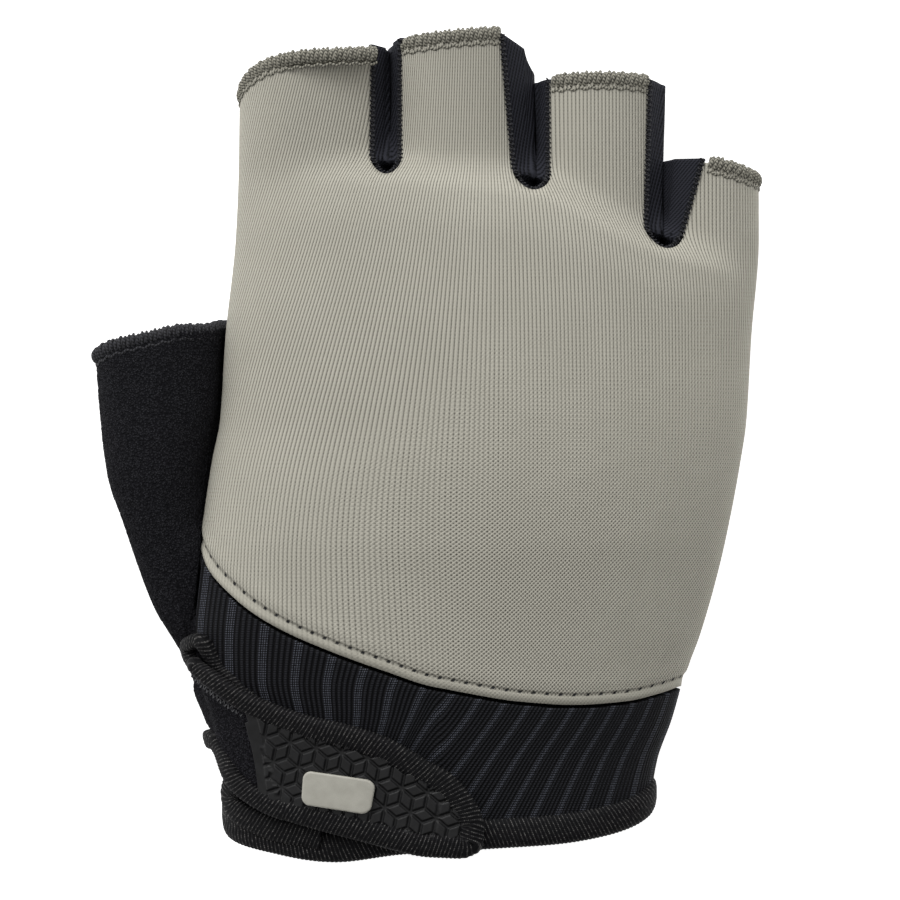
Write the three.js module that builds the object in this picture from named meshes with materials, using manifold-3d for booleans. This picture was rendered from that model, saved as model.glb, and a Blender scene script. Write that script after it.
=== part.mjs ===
// Fingerless cycling glove for a right hand, lying palm down and keeping the hollow form of the hand.
// Millimetres. +X runs towards the little finger, +Y towards the fingertips, +Z up out of the back of
// the hand. Every panel is a thin wall cut from the same few flattened tubes: one round the hand and
// one round each finger.
import * as THREE from "three";
import { mergeVertices } from "three/addons/utils/BufferGeometryUtils.js";
import Module from "manifold-3d";

// Overall sizes.
const GLOVE_LENGTH = 149.5; // wrist edge to the end of the middle finger
const PALM_WIDTH = 98; // across the knuckles, the unit of every width below
const PALM_DEPTH = 30; // table to the crown of the back

// Cloth.
const BACK_WALL = 1.5; // brushed stretch knit
const PALM_WALL = 1.6; // synthetic suede
const THUMB_WALL = 1.6; // terry
const CUFF_WALL = 1.3; // ribbed elastic
const FORK_WALL = 1.0; // thin stretch strips between the fingers
const SEAM_GAP = 0.35; // between two panels at a seam

// Hems and bindings.
const HEM_WIDTH = 3.0; // overlocked finger ends
const HEM_THICK = 2.4;
const HEM_END_IN = 0.5; // how far a hem stops short of its panel's corners
const THUMB_HEM_WIDTH = 2.7;
const THUMB_HEM_THICK = 2.2;
const THUMB_WAY = { x: -0.27, y: 0.96 }; // the way the thumb's hole faces
const BINDING_WIDTH = 5.4; // folded elastic tape round the wrist
const BINDING_THICK = 3.0;
const BINDING_PROUD = 0.9; // how far a binding stands above the cloth that it edges
const STRAP_BINDING_WIDTH = 3.9;
const SLIT_BINDING_WIDTH = 3.4;
const SLIT_BINDING_THICK = 2.6;

// Wrist strap.
const STRAP_WALL = 1.2;
const PATCH_WALL = 0.7; // moulded rubber label on the strap
const BADGE_LENGTH = 12.2;
const BADGE_WIDTH = 6.3;
const BADGE_THICK = 0.8;
const BADGE_CORNER = 1.6;
const BADGE_TILT = -9; // degrees from +X

// Shape of the tubes.
const SQUARENESS = 2.4; // 2 is an ellipse
const HAND_CORNER = 8; // how far in the hand's tube rounds under before it lies flat
const FINGER_CORNER = 5;
const THUMB_CORNER = 6;
const SEAM_TURN = 45; // degrees below the widest point where back and palm are sewn
const CROTCH_ROUND = 2.4; // rounding of the cloth at the foot of a finger slot
const FINGER_BLEND = 14; // length over which the hand's arch parts into four
const PART_START = 9; // how far below the crotch line that begins
const FORK_TURN = 62; // degrees below the widest point where a finger's front is sewn

// Hand tube. at: share of GLOVE_LENGTH from the wrist edge. left, right: sides, as shares of PALM_WIDTH
// from the middle line. side, crown: heights of the widest point and of the top, as shares of
// PALM_DEPTH.
const HAND = [
  { at: 0.0, left: -0.367, right: 0.4, side: 0.36, crown: 0.78 },
  { at: 0.07, left: -0.371, right: 0.408, side: 0.37, crown: 0.8 },
  { at: 0.12, left: -0.381, right: 0.42, side: 0.38, crown: 0.82 },
  { at: 0.17, left: -0.403, right: 0.447, side: 0.39, crown: 0.85 },
  { at: 0.22, left: -0.432, right: 0.469, side: 0.4, crown: 0.88 },
  { at: 0.27, left: -0.437, right: 0.498, side: 0.4, crown: 0.91 },
  { at: 0.34, left: -0.427, right: 0.529, side: 0.4, crown: 0.95 },
  { at: 0.39, left: -0.418, right: 0.547, side: 0.4, crown: 0.98 },
  { at: 0.48, left: -0.398, right: 0.573, side: 0.4, crown: 1.0 },
  { at: 0.53, left: -0.383, right: 0.584, side: 0.4, crown: 1.0 },
  { at: 0.63, left: -0.373, right: 0.593, side: 0.4, crown: 0.985 },
  { at: 0.75, left: -0.354, right: 0.607, side: 0.38, crown: 0.93 },
  { at: 0.83, left: -0.349, right: 0.607, side: 0.35, crown: 0.86 },
  { at: 1.0, left: -0.346, right: 0.607, side: 0.32, crown: 0.72 },
];

// Fingers. Sides of the tube (wall) and of the strip of back panel on it (back), at its crotch (low)
// and at its end (tip), as shares of PALM_WIDTH. The outer side of the first and the last finger is the
// hand's own. endLeft, endRight and palmLeft, palmRight: where back and palm end, as shares of
// GLOVE_LENGTH. bow: how far the back's end rises between its corners, and bend: under 1 where it rises
// sooner from its left corner.
const FINGERS = [
  { name: "index", crown: 0.69, endLeft: 0.93, endRight: 0.979, bow: 0.0265, bend: 0.5,
    palmLeft: 0.915, palmRight: 0.962,
    wallRightLow: -0.0745, wallRightTip: -0.0745, backRightLow: -0.106, backRightTip: -0.104 },
  { name: "middle", crown: 0.71, endLeft: 0.985, endRight: 1.0, bow: 0.004, bend: 1,
    palmLeft: 0.966, palmRight: 0.94,
    wallLeftLow: -0.0675, wallLeftTip: -0.0675, backLeftLow: -0.05, backLeftTip: -0.05,
    wallRightLow: 0.19, wallRightTip: 0.186, backRightLow: 0.157, backRightTip: 0.13 },
  { name: "ring", crown: 0.69, endLeft: 0.943, endRight: 0.943, bow: 0.006, bend: 1,
    palmLeft: 0.932, palmRight: 0.925,
    wallLeftLow: 0.2, wallLeftTip: 0.199, backLeftLow: 0.2215, backLeftTip: 0.2215,
    wallRightLow: 0.4225, wallRightTip: 0.4285, backRightLow: 0.394, backRightTip: 0.403 },
  { name: "little", crown: 0.65, endLeft: 0.853, endRight: 0.829, bow: 0.006, bend: 1,
    palmLeft: 0.83, palmRight: 0.805,
    wallLeftLow: 0.4325, wallLeftTip: 0.4365, backLeftLow: 0.459, backLeftTip: 0.51 },
];

// Slots between the fingers: how far down each is cut, as shares of GLOVE_LENGTH.
const CROTCHES = [0.825, 0.807, 0.736];
const CROTCH_SIDES = { left: 0.83, right: 0.71 }; // the same line carried on to the outer sides

// Where the back panel ends at the cuff, round the hand tube. turn: degrees, 0 at the little finger's
// side, 90 at the crown, 180 at the thumb's side.
const ARC_SEAM = [
  { turn: -45, at: 0.213 }, { turn: 9, at: 0.2095 }, { turn: 26, at: 0.202 }, { turn: 42, at: 0.193 },
  { turn: 60, at: 0.189 }, { turn: 74, at: 0.193 }, { turn: 87, at: 0.205 }, { turn: 99, at: 0.229 },
  { turn: 112, at: 0.253 }, { turn: 125, at: 0.277 }, { turn: 137, at: 0.301 }, { turn: 148, at: 0.325 },
  { turn: 160, at: 0.349 }, { turn: 172, at: 0.375 },
];

// The wrist edge, round the hand tube.
const WRIST_EDGE = [
  { turn: -90, at: 0.062 }, { turn: -40, at: 0.065 }, { turn: 0, at: 0.064 }, { turn: 15, at: 0.0515 },
  { turn: 30, at: 0.039 }, { turn: 45, at: 0.029 }, { turn: 60, at: 0.0215 }, { turn: 80, at: 0.016 },
  { turn: 97, at: 0.0095 }, { turn: 115, at: 0.0 }, { turn: 140, at: 0.0115 }, { turn: 165, at: 0.026 },
  { turn: 180, at: 0.043 }, { turn: 220, at: 0.06 }, { turn: 270, at: 0.062 },
];

// Thumb side of the back panel (above the arc seam) and of the cuff (below it, down the edge of the
// wrist slit).
const BACK_LEFT = [
  { at: 0.36, turn: 171 }, { at: 0.38, turn: 173 }, { at: 0.42, turn: 184 }, { at: 0.47, turn: 193 },
  { at: 0.53, turn: 198 }, { at: 0.56, turn: 208 }, { at: 0.587, turn: 225 }, { at: 0.62, turn: 225 },
];
const CUFF_LEFT = [
  { at: 0.04, turn: 131 }, { at: 0.1, turn: 133 }, { at: 0.15, turn: 136 }, { at: 0.2, turn: 145 },
  { at: 0.235, turn: 158 }, { at: 0.265, turn: 169 }, { at: 0.3, turn: 171 }, { at: 0.38, turn: 171 },
];

// Thumb: its outer side, crest and side height at stations along the glove, on the units of the hand tube.
const THUMB = [
  { at: 0.04, outer: -0.369, crest: -0.36, top: 0.5, side: 0.36 },
  { at: 0.12, outer: -0.383, crest: -0.372, top: 0.5, side: 0.37 },
  { at: 0.17, outer: -0.405, crest: -0.394, top: 0.49, side: 0.36 },
  { at: 0.22, outer: -0.441, crest: -0.427, top: 0.48, side: 0.34 },
  { at: 0.27, outer: -0.477, crest: -0.445, top: 0.48, side: 0.32 },
  { at: 0.31, outer: -0.508, crest: -0.458, top: 0.49, side: 0.31 },
  { at: 0.36, outer: -0.537, crest: -0.472, top: 0.51, side: 0.3 },
  { at: 0.41, outer: -0.563, crest: -0.483, top: 0.54, side: 0.3 },
  { at: 0.46, outer: -0.589, crest: -0.49, top: 0.57, side: 0.3 },
  { at: 0.53, outer: -0.603, crest: -0.495, top: 0.59, side: 0.3 },
  { at: 0.66, outer: -0.617, crest: -0.492, top: 0.59, side: 0.3 },
];
const THUMB_CROTCH = 0.587; // share of GLOVE_LENGTH
const THUMB_ON_HAND = { from: 0.13, to: 0.3 }; // where the thumb's mound rises out of the wrist
const THUMB_CLEAR = 0.7; // between the thumb's inner wall and the hand's bulge
const THUMB_LEAN = 1.6; // squareness of the slope from its crest to the hand
const THUMB_END = [ // the end of the terry, across the thumb
  { across: -0.617, at: 0.611 }, { across: -0.585, at: 0.624 }, { across: -0.5, at: 0.638 },
  { across: -0.44, at: 0.646 }, { across: -0.4, at: 0.6465 }, { across: -0.37, at: 0.651 },
];
const CREST_SHARE = 0.43; // share of the skin's width at the thumb's crest
const TUCK_SHARE = 0.2; // and where it comes out from under the hand's bulge
const THUMB_FRONT_SHORTER = 0.012; // how much shorter the thumb's front is
const THUMB_FRONT_SET_BACK = 2.2; // of the palm's edge where it meets the thumb's inner wall

// Strap: its upper and lower outline, binding included, round the hand tube. It starts under the
// thumb's side.
const STRAP = [
  { turn: 80.5, upper: 0.045, lower: 0.027 },
  { turn: 82, upper: 0.064, lower: 0.0145 },
  { turn: 86, upper: 0.095, lower: 0.0065 },
  { turn: 92, upper: 0.126, lower: 0.0085 },
  { turn: 99, upper: 0.15, lower: 0.017 },
  { turn: 107, upper: 0.165, lower: 0.027 },
  { turn: 120, upper: 0.18, lower: 0.041 },
  { turn: 137, upper: 0.208, lower: 0.0595 },
  { turn: 152, upper: 0.236, lower: 0.085 },
  { turn: 165, upper: 0.253, lower: 0.127 },
  { turn: 180, upper: 0.258, lower: 0.158 },
  { turn: 205, upper: 0.262, lower: 0.17 },
];
const STRAP_ROOT = { upper: 168, lower: 205 }; // turn where the strap's two edges start
const STRAP_TIP = 87.5; // turn where the tab's cloth ends inside the tip's binding
const STRAP_LIFT = SEAM_GAP + BINDING_PROUD; // clear of the bindings that it crosses
const STRAP_ROOT_LIFT = SEAM_GAP;
const STRAP_SETTLE = { from: 172, over: 16 }; // turns over which it comes down to its root
const STRAP_BINDING_THICK = 2.6;
const PATCH_ROOT = 139; // turn where the rubber label starts
const BADGE_PLACE = { turn: 113.5, at: 0.087 };

// Fineness of the faceted walls.
const HAND_ROWS = 12;
const FINGER_ROWS = 5;
const STRIP_COLUMNS = [8, 5, 5, 6]; // across each finger's back
const SLOT_COLUMNS = 4;
const CUFF_ROWS = 9;
const CUFF_COLUMNS = 24;
const THUMB_ROWS = 16;
const THUMB_COLUMNS = 14;
const PALM_THUMB_ROWS = 6;
const PALM_HAND_ROWS = 4;
const PALM_FINGER_ROWS = 3;
const THUMB_FRONT_ROWS = 2;

// Small maths.
const rad = THREE.MathUtils.degToRad;
const cosd = (a) => Math.cos(rad(a));
const sind = (a) => Math.sin(rad(a));
const mix = (a, b, s) => a + (b - a) * s;
const ease = (s) => {
  const t = Math.min(1, Math.max(0, s));
  return t * t * (3 - 2 * t);
};
const range = (n) => [...Array(Math.round(n)).keys()];
const yAt = (at) => (at - 0.5) * GLOVE_LENGTH;
const atY = (y) => y / GLOVE_LENGTH + 0.5;

// A smooth curve through one column of a table, against another.
function through(rows, key, column) {
  const n = rows.length;
  const x = rows.map((r) => r[key]);
  const v = rows.map((r) => r[column]);
  const step = range(n - 1).map((i) => (v[i + 1] - v[i]) / (x[i + 1] - x[i]));
  const slope = range(n).map((i) => {
    if (i === 0) return step[0];
    if (i === n - 1) return step[n - 2];
    return step[i - 1] * step[i] <= 0 ? 0 : (2 * step[i - 1] * step[i]) / (step[i - 1] + step[i]);
  });
  return (at) => {
    if (at <= x[0]) return v[0];
    if (at >= x[n - 1]) return v[n - 1];
    const i = x.findIndex((_, k) => at <= x[k + 1]);
    const h = x[i + 1] - x[i];
    const t = (at - x[i]) / h;
    return (
      v[i] * (1 + 2 * t) * (1 - t) ** 2 +
      v[i + 1] * t * t * (3 - 2 * t) +
      h * t * (1 - t) * (slope[i] * (1 - t) - slope[i + 1] * t)
    );
  };
}

const handLeft = through(HAND, "at", "left");
const handRight = through(HAND, "at", "right");
const handSide = through(HAND, "at", "side");
const handCrown = through(HAND, "at", "crown");
const arcSeam = through(ARC_SEAM, "turn", "at");
const wristEdge = through(WRIST_EDGE, "turn", "at");
const backLeft = through(BACK_LEFT, "at", "turn");
const cuffLeft = through(CUFF_LEFT, "at", "turn");
const strapUpper = through(STRAP, "turn", "upper");
const strapLower = through(STRAP, "turn", "lower");
const thumbEnd = through(THUMB_END, "across", "at");
const thumbColumn = Object.fromEntries(
  ["outer", "crest", "top", "side"].map((name) => [name, through(THUMB, "at", name)]),
);

// Cross-sections.
function handSection(y) {
  const at = atY(y);
  return {
    left: handLeft(at) * PALM_WIDTH,
    right: handRight(at) * PALM_WIDTH,
    side: handSide(at) * PALM_DEPTH,
    crown: handCrown(at) * PALM_DEPTH,
    corner: HAND_CORNER,
  };
}

function fingerSection(f, y) {
  const hand = handSection(y);
  const finger = FINGERS[f];
  return {
    left: f === 0 ? hand.left : fingerX(f, "wallLeft", y),
    right: f === FINGERS.length - 1 ? hand.right : fingerX(f, "wallRight", y),
    side: hand.side,
    crown: finger.crown * PALM_DEPTH,
    corner: FINGER_CORNER,
  };
}

// A finger's edge at y, between its crotch and its end.
function fingerX(f, edge, y) {
  const finger = FINGERS[f];
  const isLeft = edge.endsWith("Left");
  const low = yAt(CROTCHES[isLeft ? f - 1 : f]);
  const tip = yAt(isLeft ? finger.endLeft : finger.endRight);
  const share = Math.max(-0.2, (y - low) / (tip - low));
  return mix(finger[edge + "Low"], finger[edge + "Tip"], share) * PALM_WIDTH;
}

// The point of a flattened tube at a turn. Past 0 and 180 it rounds under to the table.
function tube(section, turn, y) {
  const { left, right, side, crown, corner } = section;
  const half = (right - left) / 2;
  const way = turn < 90 ? 1 : -1;
  const under = Math.max(-turn, turn - 180);
  const power = 2 / SQUARENESS;
  const reach = under > 0 ? half - corner * (1 - cosd(under)) : half * Math.abs(cosd(turn)) ** power;
  const z = under > 0 ? side * (1 - sind(under)) : side + (crown - side) * Math.abs(sind(turn)) ** power;
  return new THREE.Vector3((left + right) / 2 + way * reach, y, z);
}

// The turn at which the upper side of a tube passes over x.
function turnOver(section, x) {
  const share = (2 * x - section.left - section.right) / (section.right - section.left);
  const reach = Math.min(1, Math.abs(share)) ** (SQUARENESS / 2);
  return THREE.MathUtils.radToDeg(Math.acos(Math.sign(share) * reach));
}

const onHand = (turn, y) => tube(handSection(y), turn, y);

// How high the table side of a tube stands at a distance in from its widest point.
function rounding(distance, side, corner) {
  if (distance >= corner) return 0;
  return side * (1 - Math.sqrt(1 - ((corner - distance) / corner) ** 2));
}

// Closed walls.

// A thin wall from a grid of points on its outer face: grid[i][j] is a point, or null where the cloth
// is cut away. Seen from outside, i runs up the page and j to the left.
function wall(grid, thickness) {
  const rows = grid.length;
  const columns = grid[0].length;
  const at = (i, j) => (i < 0 || j < 0 || i >= rows || j >= columns ? null : grid[i][j]);
  const cell = (i, j) => Boolean(at(i, j) && at(i + 1, j) && at(i, j + 1) && at(i + 1, j + 1));
  const facing = (i, j) => {
    const [a, b, c, d] = [grid[i][j], grid[i + 1][j + 1], grid[i][j + 1], grid[i + 1][j]];
    return b.clone().sub(a).cross(c.clone().sub(d)).normalize();
  };
  // Past an edge the cloth is taken to bend on as it does beside it.
  const bentOn = (i, j, di, dj) => {
    if (!cell(i + di, j + dj)) return null;
    const near = facing(i + di, j + dj);
    if (!cell(i + 2 * di, j + 2 * dj)) return near;
    return near.clone().multiplyScalar(2).sub(facing(i + 2 * di, j + 2 * dj)).normalize();
  };
  const normal = (i, j) => {
    const sum = new THREE.Vector3();
    for (const [ci, cj] of [[i, j], [i - 1, j], [i, j - 1], [i - 1, j - 1]]) {
      if (cell(ci, cj)) {
        sum.add(facing(ci, cj));
        continue;
      }
      const beside = bentOn(ci, cj, 0, cj < j ? 1 : -1) ?? bentOn(ci, cj, ci < i ? 1 : -1, 0);
      if (beside) sum.add(beside);
    }
    return sum.normalize();
  };
  const positions = [];
  const outer = grid.map((row, i) =>
    row.map((p, j) => {
      if (!p || !(cell(i, j) || cell(i - 1, j) || cell(i, j - 1) || cell(i - 1, j - 1))) return -1;
      const inner = p.clone().addScaledVector(normal(i, j), -thickness);
      positions.push(...p.toArray(), ...inner.toArray());
      return positions.length / 6 - 1;
    }),
  );
  const index = [];
  const quad = (a, b, c, d) => index.push(a, b, c, a, c, d);
  for (const i of range(rows - 1)) {
    for (const j of range(columns - 1)) {
      if (!cell(i, j)) continue;
      const corners = [outer[i][j], outer[i + 1][j], outer[i + 1][j + 1], outer[i][j + 1]];
      const [a, b, c, d] = corners.map((k) => 2 * k);
      quad(a, b, c, d);
      quad(d + 1, c + 1, b + 1, a + 1);
      if (!cell(i, j - 1)) quad(b, a, a + 1, b + 1);
      if (!cell(i, j + 1)) quad(d, c, c + 1, d + 1);
      if (!cell(i - 1, j)) quad(a, d, d + 1, a + 1);
      if (!cell(i + 1, j)) quad(c, b, b + 1, c + 1);
    }
  }
  return new THREE.BufferGeometry()
    .setAttribute("position", new THREE.Float32BufferAttribute(positions, 3))
    .setIndex(index);
}

// A rounded bar swept along stations {centre, across, normal}, whose section is width by thickness.
function bar(stations, width, thickness, { closed = false, sides = 8 } = {}) {
  const positions = [];
  const index = [];
  for (const { centre, across, normal } of stations) {
    for (const k of range(sides)) {
      const turn = (360 * (k + 0.5)) / sides;
      const p = centre
        .clone()
        .addScaledVector(across, (width / 2) * Math.sign(cosd(turn)) * Math.abs(cosd(turn)) ** 0.6)
        .addScaledVector(normal, (thickness / 2) * Math.sign(sind(turn)) * Math.abs(sind(turn)) ** 0.6);
      positions.push(...p.toArray());
    }
  }
  const n = stations.length;
  for (const i of range(closed ? n : n - 1)) {
    for (const k of range(sides)) {
      const [a, b] = [i * sides + k, i * sides + ((k + 1) % sides)];
      const [c, d] = [((i + 1) % n) * sides + k, ((i + 1) % n) * sides + ((k + 1) % sides)];
      index.push(a, b, d, a, d, c);
    }
  }
  if (!closed) {
    for (const k of range(sides - 2)) {
      index.push(0, k + 2, k + 1);
      const last = (n - 1) * sides;
      index.push(last, last + k + 1, last + k + 2);
    }
  }
  return new THREE.BufferGeometry()
    .setAttribute("position", new THREE.Float32BufferAttribute(positions, 3))
    .setIndex(index);
}

// The back of the hand and of the fingers.

const CROTCH_LINE = [
  { across: handLeft(CROTCH_SIDES.left), at: CROTCH_SIDES.left },
  ...CROTCHES.map((at, f) => ({ across: (FINGERS[f].backRightLow + FINGERS[f + 1].backLeftLow) / 2, at })),
  { across: handRight(CROTCH_SIDES.right), at: CROTCH_SIDES.right },
];
const crotchAt = through(CROTCH_LINE, "across", "at");
const crotchY = (x) => yAt(crotchAt(x / PALM_WIDTH));

// How far the hand's one arch has parted into four at a place: 0 on the hand, 1 on the fingers.
const parting = (x, y) => ease((y - crotchY(x) + PART_START) / FINGER_BLEND);

function overHeight({ left, right, side, crown }, x) {
  const share = Math.min(1, Math.abs((2 * x - left - right) / (right - left)));
  return side + (crown - side) * (1 - share ** SQUARENESS) ** (1 / SQUARENESS);
}

function backHeight(x, y) {
  const over = overHeight(handSection(y), x);
  const part = parting(x, y);
  if (part === 0) return over;
  return mix(over, Math.max(...range(4).map((f) => overHeight(fingerSection(f, y), x))), part);
}

// A point of the hand's tube, its arch parting into the fingers. Under its widest line it rounds to the
// table.
function handPoint(turn, y) {
  const section = handSection(y);
  const point = tube(section, turn, y);
  if (turn < 0 || turn > 180) {
    return tube({ ...section, corner: mix(HAND_CORNER, FINGER_CORNER, parting(point.x, y)) }, turn, y);
  }
  point.z = backHeight(point.x, y);
  return point;
}

// A point of one finger's tube.
function fingerPoint(f, turn, y) {
  if ((f === 0 && turn > 180) || (f === 3 && turn < 0)) return handPoint(turn, y);
  const point = tube(fingerSection(f, y), turn, y);
  point.z = turn < 0 || turn > 180 ? point.z * parting(point.x, y) : backHeight(point.x, y);
  return point;
}

// The turns at which the back panel ends on a finger.
function backTurns(f, y) {
  const section = fingerSection(f, y);
  return {
    right: f === 3 ? -SEAM_TURN : turnOver(section, fingerX(f, "backRight", y)),
    left: f === 0 ? 180 + SEAM_TURN : turnOver(section, fingerX(f, "backLeft", y)),
  };
}

// The end of a finger's back or front at x.
function fingerEnd(f, x, kind) {
  const finger = FINGERS[f];
  const { left, right } = fingerSection(f, yAt(finger[kind + "Left"]));
  const share = Math.min(1, Math.max(0, (x - left) / (right - left)));
  const rise = finger.bow * Math.sin(Math.PI * share ** finger.bend);
  return yAt(mix(finger[kind + "Left"], finger[kind + "Right"], share) + rise);
}

// One finger's strip of the back from its crotch row to its end. Columns run left; each keeps its turn.
function fingerStrip(f) {
  const columns = STRIP_COLUMNS[f];
  return range(FINGER_ROWS + 1).map((i) =>
    range(columns + 1).map((k) => {
      let y = yAt(CROTCHES[Math.min(f, 2)]);
      let turn = 0;
      for (const pass of range(3)) {
        const turns = backTurns(f, y);
        turn = mix(turns.right, turns.left, k / columns);
        const { x } = tube(fingerSection(f, y), turn, y);
        y = mix(crotchY(x) + CROTCH_ROUND, fingerEnd(f, x, "end") - HEM_WIDTH - SEAM_GAP, i / FINGER_ROWS);
      }
      return { point: fingerPoint(f, turn, y), turn };
    }),
  );
}

const STRIPS = range(4).map(fingerStrip);

// The crotch row of the back from right to left, strips and slot feet, each with its turn on the hand.
function backTop() {
  const row = [];
  for (const f of [3, 2, 1, 0]) {
    STRIPS[f][0].forEach(({ point, turn }, k) => {
      const own = turn < 0 || turn > 180 ? turn : turnOver(handSection(point.y), point.x);
      row.push({ point, turn: own, f, k });
    });
    if (f === 0) break;
    const from = STRIPS[f][0].at(-1).point;
    const to = STRIPS[f - 1][0][0].point;
    for (const k of range(SLOT_COLUMNS - 1)) {
      const share = (k + 1) / SLOT_COLUMNS;
      const point = from.clone().lerp(to, share);
      point.y -= CROTCH_ROUND * Math.sin(Math.PI * share) ** 0.7;
      point.z = backHeight(point.x, point.y);
      row.push({ point, turn: turnOver(handSection(point.y), point.x), f: -1, k });
    }
  }
  return row;
}

// A height along the glove that agrees with the border that it depends on.
const settle = (next) => range(12).reduce((y) => mix(y, next(y), 0.7), next(0));

// The right and left borders of a panel on the hand's tube at a share between them.
const betweenSeams = (share, left) => mix(-SEAM_TURN, left, share);

function backPanel() {
  const top = backTop();
  const grid = range(HAND_ROWS).map((i) =>
    top.map(({ point, turn }) => {
      const share = (turn + SEAM_TURN) / (180 + 2 * SEAM_TURN);
      const foot = settle((y) => yAt(arcSeam(betweenSeams(share, backLeft(atY(y))))));
      const y = mix(foot, point.y, i / HAND_ROWS);
      return handPoint(betweenSeams(share, backLeft(atY(y))), y);
    }),
  );
  grid.push(top.map(({ point }) => point));
  for (const i of range(FINGER_ROWS)) {
    grid.push(top.map(({ f, k }) => (f < 0 ? null : STRIPS[f][i + 1][k].point)));
  }
  return wall(grid, BACK_WALL);
}

// The skin round the wrist and the thumb.

// Left border of the hand's own tube: the back panel's edge, and below the arc seam the cuff's.
const ARC_END = ARC_SEAM.at(-1).at;
const leftBorder = (at) => (at > ARC_END ? backLeft(at) : cuffLeft(at));

// The turn further on by a length round a tube.
function turnOn(turn, y, length, place = handPoint) {
  return turn + (2 * length) / place(turn - 1, y).distanceTo(place(turn + 1, y));
}

// The same for a length square to a border that runs aslant.
function turnFrom(border, y, length) {
  const turn = border(atY(y));
  const lean = handPoint(border(atY(y + 1)), y).x - handPoint(border(atY(y - 1)), y).x;
  return turnOn(turn, y, length * Math.hypot(1, lean / 2));
}

function thumbTube(y) {
  const at = atY(y);
  const [outer, crest] = ["outer", "crest"].map((name) => thumbColumn[name](at) * PALM_WIDTH);
  const [top, side] = ["top", "side"].map((name) => thumbColumn[name](at) * PALM_DEPTH);
  return { left: outer, right: 2 * crest - outer, side, crown: top, corner: THUMB_CORNER, crest };
}

// The thumb's skin. share: 0 where it meets the hand, 1 at the palm's seam under its outer side.
function thumbPoint(share, y) {
  const at = atY(y);
  const border = turnOn(leftBorder(at), y, 2 * SEAM_GAP);
  const own = handPoint(mix(border, 180 + SEAM_TURN, share), y);
  const onThumb = ease((at - THUMB_ON_HAND.from) / (THUMB_ON_HAND.to - THUMB_ON_HAND.from));
  if (onThumb === 0) return own;
  const section = thumbTube(y);
  if (share > CREST_SHARE) {
    const turn = mix(90, 180 + SEAM_TURN, (share - CREST_SHARE) / (1 - CREST_SHARE));
    return own.lerp(tube(section, turn, y), onThumb);
  }
  const slopeTo = (foot, part) => {
    const power = 2 / THUMB_LEAN;
    const x = mix(section.crest, foot.x, sind(90 * (1 - part)) ** power);
    return new THREE.Vector3(x, y, mix(foot.z, section.crown, cosd(90 * (1 - part)) ** power));
  };
  const mound = slopeTo(handPoint(border, y), share / CREST_SHARE);
  // Beside the hand's bulge the slope stops at its widest line and follows it under.
  const under = ease((border - 186) / 20);
  if (under > 0) {
    const reach = share / TUCK_SHARE;
    const tucked =
      reach < 1
        ? handPoint(mix(border, 186, reach), y).add(new THREE.Vector3(-THUMB_CLEAR * reach, 0, 0))
        : slopeTo(
            handPoint(186, y).add(new THREE.Vector3(-THUMB_CLEAR, 0, 0)),
            (share - TUCK_SHARE) / (CREST_SHARE - TUCK_SHARE),
          );
    mound.lerp(tucked, under);
  }
  return own.lerp(mound, onThumb);
}

// One skin round the wrist, by turn: the hand's, and past its left border the thumb's.
function skin(turn, y) {
  const border = leftBorder(atY(y));
  if (turn <= border) return handPoint(turn, y);
  if (turn > 180 + SEAM_TURN) return tube(thumbTube(y), turn, y);
  return thumbPoint((turn - border) / (180 + SEAM_TURN - border), y);
}

function skinNormal(turn, y) {
  const round = skin(turn + 1.5, y).sub(skin(turn - 1.5, y));
  const along = skin(turn, y + 1).sub(skin(turn, y - 1));
  return along.cross(round).normalize();
}

const overSkin = (turn, y, height) => skin(turn, y).addScaledVector(skinNormal(turn, y), height);

const clothFoot = (turn) => yAt(wristEdge(turn)) + BINDING_WIDTH + SEAM_GAP;

function cuffPanel() {
  const grid = range(CUFF_ROWS + 1).map((i) =>
    range(CUFF_COLUMNS + 1).map((j) => {
      const share = j / CUFF_COLUMNS;
      const low = settle((y) => clothFoot(betweenSeams(share, cuffLeft(atY(y)))));
      const top = settle((y) => yAt(arcSeam(betweenSeams(share, cuffLeft(atY(y))))));
      const y = mix(low, top - 2 * SEAM_GAP, i / CUFF_ROWS);
      return handPoint(betweenSeams(share, cuffLeft(atY(y))), y);
    }),
  );
  return wall(grid, CUFF_WALL);
}

function thumbPanel() {
  const grid = range(THUMB_ROWS + 1).map((i) =>
    range(THUMB_COLUMNS + 1).map((j) => {
      const share = j / THUMB_COLUMNS;
      const low = clothFoot(mix(cuffLeft(0.04), 180 + SEAM_TURN, share));
      let y = low;
      for (const pass of range(3)) {
        const end = yAt(thumbEnd(thumbPoint(share, y).x / PALM_WIDTH)) - THUMB_HEM_WIDTH - SEAM_GAP;
        y = mix(low, end, i / THUMB_ROWS);
      }
      return thumbPoint(share, y);
    }),
  );
  return wall(grid, THUMB_WALL);
}

// The palm, seen from below. Its columns run from the thumb's side to the little finger's.
const WRAP = [SEAM_TURN, 67, 90];

const flatLeft = (y) => handPoint(270, y).x;
const flatRight = (y) => handPoint(-90, y).x;
const seamGapTurn = (y) => SEAM_GAP / (handSection(y).side * rad(1));

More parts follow.
